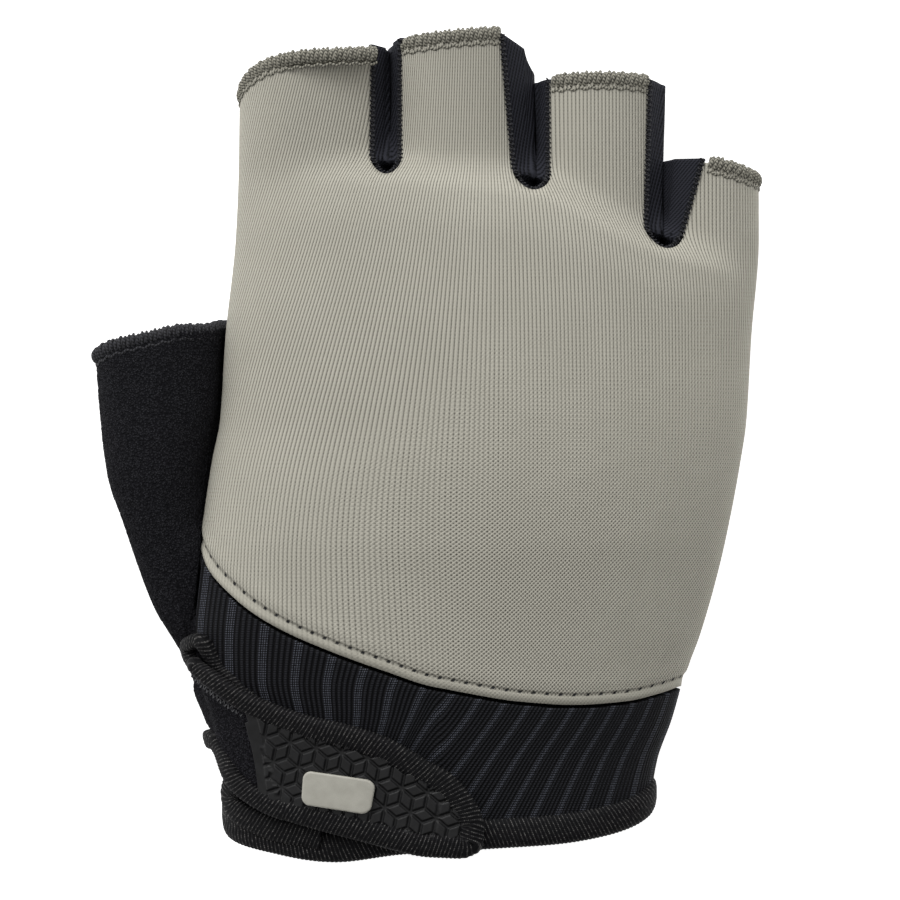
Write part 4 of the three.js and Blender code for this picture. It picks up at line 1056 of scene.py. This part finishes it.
# The palm: the node's own shape, smoothed, for its outside lies on the table.
def palm_panel():
    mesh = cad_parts["palm_panel"].data.copy()
    mesh.name = "palm_cloth"
    mesh.materials.clear()
    mesh.materials.append(SUEDE)
    work = bmesh.new()
    work.from_mesh(mesh)
    bmesh.ops.remove_doubles(work, verts=work.verts, dist=1e-5)
    bmesh.ops.join_triangles(work, faces=work.faces, angle_face_threshold=0.6, angle_shape_threshold=0.9)
    crease = work.edges.layers.float.new("crease_edge")
    for edge in work.edges:
        if edge.calc_face_angle(0) > 1.1:
            edge[crease] = 0.8
    for face in work.faces:
        face.smooth = True
    work.to_mesh(mesh)
    work.free()
    piece = bpy.data.objects.new("palm_cloth", mesh)
    bpy.context.collection.objects.link(piece)
    smooth = piece.modifiers.new("smooth", "SUBSURF")
    smooth.levels = 2
    smooth.render_levels = 2
    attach(piece, "root")
    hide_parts("palm_panel")
    return piece


PALM_CLOTH = palm_panel()


def thread_along(line, normals, along, width, thickness, sides=6, closed=False):
    """A plain thread along a line."""
    ring, faces = sweep(line, normals, rounded(width, thickness, sides, 1.0), closed)
    return ring, faces, np.stack([np.repeat(along, sides), np.tile(np.arange(sides) / sides, len(line))], 1)


def coil(points, normals, radius_across, radius_up, pitch, thick, closed=False, lean=0.0, swell=0.0):
    """A thread wound round a line."""
    fine, (upright,), along = even(points, pitch / 14, normals, closed=closed)
    across, up, ahead = frames_along(fine, unit(upright), closed)
    turn = 360 * along / pitch
    fuller = (1 + swell * (np.abs(np.sin(np.pi * along / STITCH_LENGTH)) - 0.5))[:, None]
    ways = cosd(turn)[:, None], sind(turn)[:, None]
    wound = across * radius_across * ways[0] + up * radius_up * ways[1]
    centre = fine + fuller * wound + ahead * lean * ways[0]
    return thread_along(centre, across * ways[0] + up * ways[1], lengths_along(centre), thick, thick)


# The strips between the fingers.
def fork(f, name, node):
    rows = 24

    def leg(finger, is_right):
        def plain_finger(turn, y):
            return tube(finger_section(finger, y), turn, y)

        up = np.arange(rows + 1)[:, None] / rows
        y = np.full((rows + 1, 1), y_at(CROTCHES[f]) + CROTCH_ROUND)
        sign = -1 if is_right else 1
        columns = []
        for across in range(6):
            here = y.copy()
            for _ in range(3):
                back = back_turns(finger, here)[0 if is_right else 1]
                gap = SEAM_GAP + 0.5 * (up == 0)
                start = turn_on(back, here, sign * gap, plain_finger)
                gap_turn = np.where(up < 0.3, 10, 4)
                under = gap_turn - FORK_TURN if is_right else 180 + FORK_TURN - gap_turn
                wide = 0 if is_right else 180
                upper = (start, mix(start, wide, 0.55), wide - sign * 6)
                lower = (wide + sign * 6, mix(wide, under, 0.55), under)
                turn = (upper + lower)[across] + 0 * up
                x = tube(finger_section(finger, here), turn, here)[..., 0]
                low = crotch_y(x) + CROTCH_ROUND
                back_end = finger_end(finger, x, "end") - 1
                fall = (0, 0.35, 0.8, 1, 1, 1)[across] if is_right and finger == 1 else across / 5
                raised = 1.4 if f == 0 else 0.2
                here = mix(low, mix(back_end + raised, finger_end(finger, x, "palm"), fall), up)
            columns.append(finger_point(finger, turn, here))
        return np.concatenate(columns, axis=1)

    down = leg(f, True)[::-1]
    up_leg = leg(f + 1, False)
    a, b = down[-1], up_leg[0]
    web = []
    for share in np.linspace(0, 1, 12)[1:-1]:
        row = mix(a, b, share)
        row[:, 1] -= CROTCH_ROUND * np.sin(np.pi * share) ** CROTCH_CURVE
        top = back_height(row[0, 0], row[0, 1]) - BACK_WALL - 2 * SEAM_GAP
        bottom = row[5, 2] + PALM_WALL + 2 * SEAM_GAP
        row[:, 2] = mix(top, bottom, np.arange(6) / 5)
        web.append(row)
    coarse = np.concatenate([down, np.array(web), up_leg])
    # Finer across, along smooth curves.
    fine = np.linspace(0, 5, 21)
    grid = np.stack([np.stack([np.interp(fine, range(6), column) for column in row.T], 1) for row in coarse])
    # The limp strip falls into soft folds along the slot.
    along = np.arange(len(grid))[:, None]
    folds = 0.28 * np.sin(fine[None] * 2.6 + along * 0.11 + f) * np.sin(np.pi * fine[None] / 5)
    # The two legs touch along the middle of the slot.
    other_foot = len(grid) - 1 - rows
    from_foot = np.minimum(np.abs(along - rows), np.abs(along - other_foot))
    in_web = (along > rows) & (along < other_foot)
    meet = np.where(in_web, 0.5, 0.55 + 0.6 * np.exp(-((from_foot / 5) ** 2)))
    folds = folds + meet * np.exp(-(((fine[None] - 2.6) / 1.0) ** 2))
    uv = np.stack(np.broadcast_arrays(lengths_across(grid), along * 0.8), -1)
    piece = wall(name, node, grid, FORK_WALL, uv, STRIP, "black_strip", folds)
    # Thread over the edge of the grey cloth, right round the slot.
    edge = grid[:, 0].copy()
    edge[:, 2] += 0.35
    upright = np.tile([0, 0, 1.0], (len(edge), 1))
    wound = coil(edge, upright, 0.42, 0.2, 0.9, 0.3, lean=0.3)
    make(name + "_thread", node, *wound, BLACK_THREAD, "black_strip")
    return piece


FORK_NODES = ["fork_index_middle", "fork_middle_ring", "fork_ring_little"]
FORKS = [fork(f, node.replace("fork", "strip"), node) for f, node in enumerate(FORK_NODES)]


# Ribbed tapes.
def tape(name, points, normals, width, thickness, node, closed=False, slant=0.0, narrow=None):
    """A ribbed tape along a line. narrow: share of its width at each point."""
    narrow = np.ones(len(points)) if narrow is None else narrow
    line, (upright, narrow), along = even(points, TAPE_PITCH / 5, normals, narrow[:, None], closed=closed)
    upright = unit(upright)
    section = rounded(width, thickness, 16)
    phase = (along[:, None] + slant * section[None, :, 0]) / TAPE_PITCH
    ridge = 1 - np.abs(np.mod(phase, 1) * 2 - 1) ** 2
    size = np.hypot(section[:, 0], section[:, 1])
    scale = (1 + (0.16 * ridge - 0.1) / size[None])[..., None] * np.stack([narrow, 1 + 0 * narrow], -1)
    ring, faces = sweep(line, upright, section, closed, scale)
    uv = np.stack(np.broadcast_arrays(phase, lengths_along(section)), -1).reshape(-1, 2)
    return make(name, node, ring, faces, uv, TAPE, "black_tape")


def curve(points, steps=8):
    """A smooth line through points."""
    first, last = 2 * points[:1] - points[1:2], 2 * points[-1:] - points[-2:-1]
    p = np.concatenate([first, points, last])
    t = np.linspace(0, 1, steps, endpoint=False)[:, None]
    pieces = []
    for a, b, c, d in zip(p[:-3], p[1:-2], p[2:-1], p[3:]):
        pieces.append(b + 0.5 * t * (c - a + t * (2 * a - 5 * b + 4 * c - d + t * (3 * (b - c) + d - a))))
    return np.concatenate(pieces + [points[-1:]])


def tube_normal(turn, y):
    section = hand_section(y)
    round_it = tube(section, turn + 1, y) - tube(section, turn - 1, y)
    return unit(np.cross(np.broadcast_to([0, 1.0, 0], round_it.shape), round_it))


def wrist_station(turn):
    y = y_at(wrist_edge(turn)) + BINDING_WIDTH / 2
    up = np.where(turn <= 90, turn, 180 - turn)
    proud = BINDING_PROUD * ease((up + 70) / 60)
    normal = tube_normal(turn, y)
    return tube(hand_section(y), turn, y) + normal * (proud - BINDING_THICK / 2)[..., None], normal


def wrist_path():
    first, first_normal = wrist_station(np.linspace(131, -88, 120))
    last, last_normal = wrist_station(np.linspace(268, 131.6, 80))
    left, right = hand_section(y_at(0.06))[:2]
    x = np.linspace(right - HAND_CORNER, left + HAND_CORNER, 6)[1:-1]
    flat = point(x, y_at(0.062) + BINDING_WIDTH / 2, BINDING_THICK / 2)
    under = np.tile([0, 0, -1.0], (4, 1))
    return np.concatenate([first, flat, last]), np.concatenate([first_normal, under, last_normal])


tape("wrist_tape", *wrist_path(), BINDING_WIDTH, BINDING_THICK, "wrist_binding", closed=True, slant=0.35)


def slit_path():
    low = cloth_foot(cuff_left(SLIT_FOOT_AT)) - 3.2
    y = np.linspace(low, y_at(SLIT_TOP_AT), 60)
    turn = turn_from(cuff_left, y, -SLIT_BINDING_WIDTH / 2)
    normal = tube_normal(turn, y)
    return hand_point(turn, y) + normal * (BINDING_PROUD - SLIT_BINDING_THICK / 2), normal


SLIT_LINE, SLIT_UPRIGHT = slit_path()
tape(
    "slit_tape", SLIT_LINE[:48], SLIT_UPRIGHT[:48], SLIT_BINDING_WIDTH, SLIT_BINDING_THICK, "slit_binding"
)


def strap_lift(turn):
    return mix(STRAP_LIFT, -0.4, ease((turn - 155) / 13))


# The slit's tape turns back on itself at the top and becomes the strap's upper edge.
HOOK = table(
    "turn at",
    (156.4, 0.2605), (160.7, 0.2656), (166, 0.2625), (172, 0.2595), (176.7, 0.2549), (174.4, 0.2473),
    (166.8, 0.2381),
)
STRAP_WIDTHS = table(
    "x upper lower",
    (-43, 2.4, 3.3), (-38.8, 3.1, 3.4), (-30.9, 3.6, 3.6), (-23.1, 4.1, 4.0), (-19, WIDE_TAPE, WIDE_TAPE),
)


def strap_edge(turn, edge, widths):
    """Centre line, normals and widths of the tape along one edge of the strap."""
    y = y_at(edge(turn))
    if widths == "lower":
        y = np.minimum(y, y_at(0.137))
    lifted = over_skin(turn, y, strap_lift(turn) + STRAP_BINDING_THICK / 2)
    return lifted, skin_normal(turn, y), np.interp(lifted[:, 0], STRAP_WIDTHS["x"], STRAP_WIDTHS[widths])


def strap_path():
    turns = np.concatenate([np.linspace(160, 100, 60), np.linspace(99, 80.9, 50)])
    upper = strap_edge(turns, strap_upper, "upper")
    turns = np.concatenate([np.linspace(80.95, 100, 50), np.linspace(101, 190, 80)])
    lower = strap_edge(turns, strap_lower, "lower")
    edge, normals, widths = (np.concatenate(pair) for pair in zip(upper, lower))
    edge, (normals, widths), _ = even(edge, 1.0, normals, widths[:, None])
    normals, widths = unit(normals), widths[:, 0]
    across, _, _ = frames_along(edge, normals)
    centres = edge - across * widths[:, None] / 2
    turn, y = HOOK["turn"], y_at(HOOK["at"])
    slit = slice(40, 58, 4)
    hook = np.concatenate([SLIT_LINE[slit], over_skin(turn, y, 0 * turn + 0.9)])
    hook_up = np.concatenate([SLIT_UPRIGHT[slit], skin_normal(turn, y)])
    line = np.concatenate([curve(np.concatenate([hook, centres[1:3]])), centres[3:]])
    upright = np.concatenate([curve(np.concatenate([hook_up, normals[1:3]])), normals[3:]])
    first = len(line) - len(centres[3:])
    return line, unit(upright), np.concatenate([np.full(first, HOOK_TAPE), widths[3:]])


STRAP_LINE, STRAP_UPRIGHT, STRAP_ACROSS = strap_path()


def strap_thread():
    """The zig-zag thread that holds the tape's folded edge down."""
    upper = (STRAP_LINE[:, 0] < -30.5) & (STRAP_LINE[:, 1] > -52) & (np.arange(len(STRAP_LINE)) > 90)
    across, _, _ = frames_along(STRAP_LINE, STRAP_UPRIGHT)
    inner = STRAP_LINE - across * (STRAP_ACROSS[:, None] / 2 + 0.2) - STRAP_UPRIGHT * 0.45
    line, (sideways, upright), along = even(inner[upper], 0.1, across[upper], STRAP_UPRIGHT[upper])
    step = np.abs(np.mod(along / 0.85, 1) * 2 - 1)
    line = line - sideways * (1.1 * step)[:, None]
    zigzag = thread_along(line, unit(upright), along, 0.28, 0.28, 5)
    make("strap_thread", "strap_binding", *zigzag, DARK_THREAD, "black_tape")


strap_thread()
STRAP_TAPE = tape(
    "strap_tape", STRAP_LINE, STRAP_UPRIGHT, WIDE_TAPE, STRAP_BINDING_THICK, "strap_binding",
    slant=-0.3, narrow=STRAP_ACROSS / WIDE_TAPE,
)


# The tape on the thumb's side of the slit, seen between the strap and the wrist's tape.
def turn_of(x, y):
    turns = np.linspace(95, 178, 84)
    return np.array([np.interp(-a, -skin(turns, np.full(84, b))[:, 0], turns) for a, b in zip(x, y)])


def thumb_side_path():
    x = np.array([-34.7, -35.1, -34.5, -32.7, -29.2, -25, -19])
    y = np.array([-60.9, -62.8, -64.8, -66.4, -68, -69.1, -70.2])
    turn = turn_of(x, y)
    return curve(over_skin(turn, y, 0 * turn + 0.5)), curve(skin_normal(turn, y))


tape("thumb_side_tape", *thumb_side_path(), WIDE_TAPE, 2.4, "slit_binding", slant=-0.3)


# The strap's tab, its rubber label and the plain plate.
def edge_slope(edge, turn):
    y = y_at(edge(turn))
    run = np.linalg.norm(hand_point(turn + 1, y) - hand_point(turn - 1, y), axis=-1)
    return (y_at(edge(turn + 1)) - y_at(edge(turn - 1))) / run


def inset_edge(edge, turn, inset):
    return y_at(edge(turn)) + inset * np.hypot(1, edge_slope(edge, turn))


def strap_grid(root_upper, root_lower, inset, lift, rows, columns):
    share = np.arange(columns + 1)[None, :] / columns
    across = np.arange(rows + 1)[:, None] / rows
    turn_upper = mix(STRAP_TIP_TURN, root_upper, share)
    turn_lower = mix(STRAP_TIP_TURN, root_lower, share)
    upper = inset_edge(strap_upper, turn_upper, -inset)
    lower = inset_edge(strap_lower, turn_lower, inset)
    turn = mix(turn_lower, turn_upper, across)
    y = mix(lower, upper, across)
    return over_skin(turn, y, strap_lift(turn) + lift), y


def strap_tab():
    grid, y = strap_grid(166, 192, TAB_INSET, STRAP_WALL, 50, 170)
    lift = 0.16 * np.random.default_rng(11).random(y.shape) - 0.08
    uv = np.stack([lengths_across(grid), y], -1)
    return wall("strap_cloth", "strap_tab", grid, STRAP_WALL, uv, TERRY, "black_terry", lift)


STRAP_CLOTH = strap_tab()


def cube_relief(u, v):
    """Distance to the nearest groove of a pattern of seen cubes: lozenges in three directions."""
    side = STAR / np.sqrt(3)
    row = STAR * np.sqrt(3) / 2
    best = np.full(u.shape, 9.0)
    for shift_u, shift_v in ((0, 0), (STAR / 2, row)):
        cu = u - (np.round((u - shift_u) / STAR) * STAR + shift_u)
        cv = v - (np.round((v - shift_v) / (2 * row)) * 2 * row + shift_v)
        far = np.hypot(cu, cv)
        spoke = np.mod(np.degrees(np.arctan2(cu, cv)) + 30, 60) - 30
        best = np.minimum(best, np.where(far < side * 1.02, far * np.abs(sind(spoke)), 9))
    return best


def strap_patch():
    top = STRAP_WALL + SEAM_GAP + PATCH_WALL
    grid, _ = strap_grid(PATCH_ROOT, PATCH_ROOT, PATCH_INSET, top, 130, 330)
    x, height = grid[..., 0], grid[..., 1]
    u = x * cosd(PATCH_TILT) + height * sind(PATCH_TILT)
    v = -x * sind(PATCH_TILT) + height * cosd(PATCH_TILT)
    raised = ease((cube_relief(u, v) - 0.12) / 0.28)
    share = np.arange(grid.shape[1])[None, :] / (grid.shape[1] - 1)
    plain = ease((share - 0.92) / 0.02)
    lift = 0.42 * mix(raised, 0.6, plain) - 0.2
    uv = np.stack([u, v], -1)
    wall("strap_label", "strap_patch", grid, PATCH_WALL, uv, RUBBER, "black_rubber", lift)


strap_patch()


def badge():
    """A plain plate with rounded corners and edges."""
    y0 = y_at(BADGE_AT)
    sides = 64
    half = np.array([BADGE_LENGTH, BADGE_WIDTH]) / 2
    turn = 360 * (np.arange(sides) + 0.5) / sides
    ways = np.stack([cosd(turn), sind(turn)], 1)
    outline = np.sign(ways) * (half - BADGE_CORNER) + BADGE_CORNER * ways
    base = STRAP_LIFT + STRAP_WALL + PATCH_WALL + 2 * SEAM_GAP
    levels = [(0.98, 0.0), (1.0, 0.15), (1.0, 0.5), (0.985, 0.68), (0.94, 0.78)]
    levels += [(scale, BADGE_THICK) for scale in (0.88, 0.6, 0.3, 0.02)]
    points, uv = [], []
    for scale, height in levels:
        shape = outline * ([1 - (1 - scale) * (half[1] / half[0]), scale] if scale > 0.8 else scale)
        across = shape[:, 0] * cosd(BADGE_TILT) - shape[:, 1] * sind(BADGE_TILT)
        along = y0 + shape[:, 0] * sind(BADGE_TILT) + shape[:, 1] * cosd(BADGE_TILT)
        place = turn_on(np.full(sides, BADGE_TURN), np.full(sides, y0), -across)
        points.append(over_skin(place, along, base + height + 0 * along))
        uv.append(shape)
    last = (len(levels) - 1) * sides
    faces = [
        [i + k, i + (k + 1) % sides, i + sides + (k + 1) % sides, i + sides + k]
        for i in range(0, last, sides)
        for k in range(sides)
    ]
    faces += [list(range(last, last + sides)), list(range(sides))[::-1]]
    plate = np.concatenate(points), faces, np.concatenate(uv)
    make("plain_plate", "strap_badge", *plate, BADGE_GREY, "grey_badge")


badge()


# Overlocked hems: a core with thread wound round it, and the needle's thread along its foot.
def hem(name, points, normals, width, thickness, node, threads, slot, closed=False):
    line, (upright,), along = even(points, 0.25, normals, closed=closed)
    upright = unit(upright)
    section = rounded(width * 0.8, thickness * 0.78, 12, 0.8)
    bumps = 0.26 * np.abs(np.sin(np.pi * along / STITCH_LENGTH)) - 0.12
    bumps = bumps + 0.05 * np.sin(2 * np.pi * along / 1.31 + 1)
    scale = np.broadcast_to((1 + bumps / (width / 2))[:, None, None], (len(line), 12, 1))
    ring, faces = sweep(line, upright, section, closed, scale)
    uv = np.stack([np.repeat(along, 12), np.tile(np.arange(12) * 0.6, len(line))], 1)
    wound = coil(line, upright, width * 0.42, thickness * 0.42, HEM_PITCH, HEM_THREAD, closed, 0.4, 0.28)
    # The needle's thread along the foot, in steps.
    across, up, _ = frames_along(line, upright, closed)
    step = np.abs(np.mod(along / STITCH_LENGTH, 1) * 2 - 1)
    foot = line + across * (width * 0.62 - 0.45 * step)[:, None] + up * (thickness * 0.32)
    needle = thread_along(foot, upright, along, 0.5, 0.42, closed=closed)
    return make(name, node, *join([(ring, faces, uv), wound, needle]), threads, slot)


def finger_hem_line(f):
    strip = HEM_STRIPS[f][0]
    end, before = strip[-1], strip[-3]
    along = unit(end - before)
    across = np.gradient(end, axis=0)
    normals = unit(np.cross(along, across))
    centres = end + along * (SEAM_GAP + HEM_WIDTH / 2) - normals * BACK_WALL / 2
    length = lengths_along(centres)
    # The index hem stands up beside its slot, and the middle finger's lies a little further out.
    if f == 0:
        centres += normals * (2.8 * ease(1 - (length - 4) / 14))[:, None]
    if f == 1:
        centres += along * 0.5
    start = HEM_END_IN if f == 0 else -0.1
    inside = (length > start) & (length < length[-1] - HEM_END_IN)
    return centres[inside], normals[inside]


for f, finger in enumerate(FINGERS):
    line, upright = finger_hem_line(f)
    name = finger["name"]
    hem(name + "_roll", line, upright, HEM_WIDTH, HEM_THICK, name + "_hem", GREY_THREAD, "grey_hem")


def thumb_hem_line():
    share = np.linspace(0, 1, 60)
    y = settle(
        lambda y: y_at(thumb_end(thumb_point(share, y)[..., 0] / PALM_WIDTH)) - THUMB_HEM_WIDTH - SEAM_GAP,
        share * 0 + 15,
    )
    over = thumb_point(share, y)
    inner, outer = over[0], over[-1]
    flat_left = thumb_tube(y[-1])[0][0]
    low = point(
        np.linspace(flat_left + 2, inner[0] - 2, 24),
        np.linspace(outer[1] - 1.8, inner[1] - 1.8, 24),
        np.full(24, 0.2),
    )
    ring = np.concatenate([over, low])
    way = unit(np.array([-0.27, 0.96, 0]))
    spread = np.roll(ring, -1, 0) - np.roll(ring, 1, 0)
    normals = unit(np.cross(np.broadcast_to(way, ring.shape), spread))
    centres = ring + way * (SEAM_GAP * 1.5 + THUMB_HEM_WIDTH / 2) - normals * THUMB_WALL / 2
    centres[:, 2] = np.maximum(centres[:, 2], THUMB_HEM_THICK / 2 + 0.05)
    return centres, normals


THUMB_ROLL = hem(
    "thumb_roll", *thumb_hem_line(), THUMB_HEM_WIDTH, THUMB_HEM_THICK, "thumb_hem",
    BLACK_THREAD, "black_hem", closed=True,
)

# Floor and light.
bpy.ops.mesh.primitive_plane_add(size=6, location=(0, 0, -0.0002))
floor = bpy.context.object
floor.name = "floor"
floor.data.materials.append(pale_floor())


def studio():
    """A soft room that is brighter towards the upper left."""
    world = bpy.data.worlds.new("studio")
    bpy.context.scene.world = world
    world.use_nodes = True
    nodes, links = world.node_tree.nodes, world.node_tree.links
    facing = nodes.new("ShaderNodeVectorMath")
    facing.operation = "DOT_PRODUCT"
    facing.inputs[1].default_value = (-0.25, 0.86, 0.44)
    links.new(nodes.new("ShaderNodeTexCoord").outputs["Generated"], facing.inputs[0])
    spread = nodes.new("ShaderNodeMapRange")
    links.new(facing.outputs["Value"], spread.inputs[0])
    for k, number in enumerate((-0.5, 1.0, 0.03, 1.3)):
        spread.inputs[k + 1].default_value = number
    nodes["Background"].inputs[0].default_value = (1, 1, 1, 1)
    links.new(spread.outputs[0], nodes["Background"].inputs[1])


def sun(name, towards, strength, softness):
    data = bpy.data.lights.new(name, "SUN")
    data.energy = strength
    data.angle = np.radians(softness)
    lamp = bpy.data.objects.new(name, data)
    lamp.rotation_mode = "QUATERNION"
    lamp.rotation_quaternion = Vector(towards).to_track_quat("-Z", "Y")
    bpy.context.collection.objects.link(lamp)


studio()
sun("key", (0.42, -1.0, -0.62), 1.6, 40)
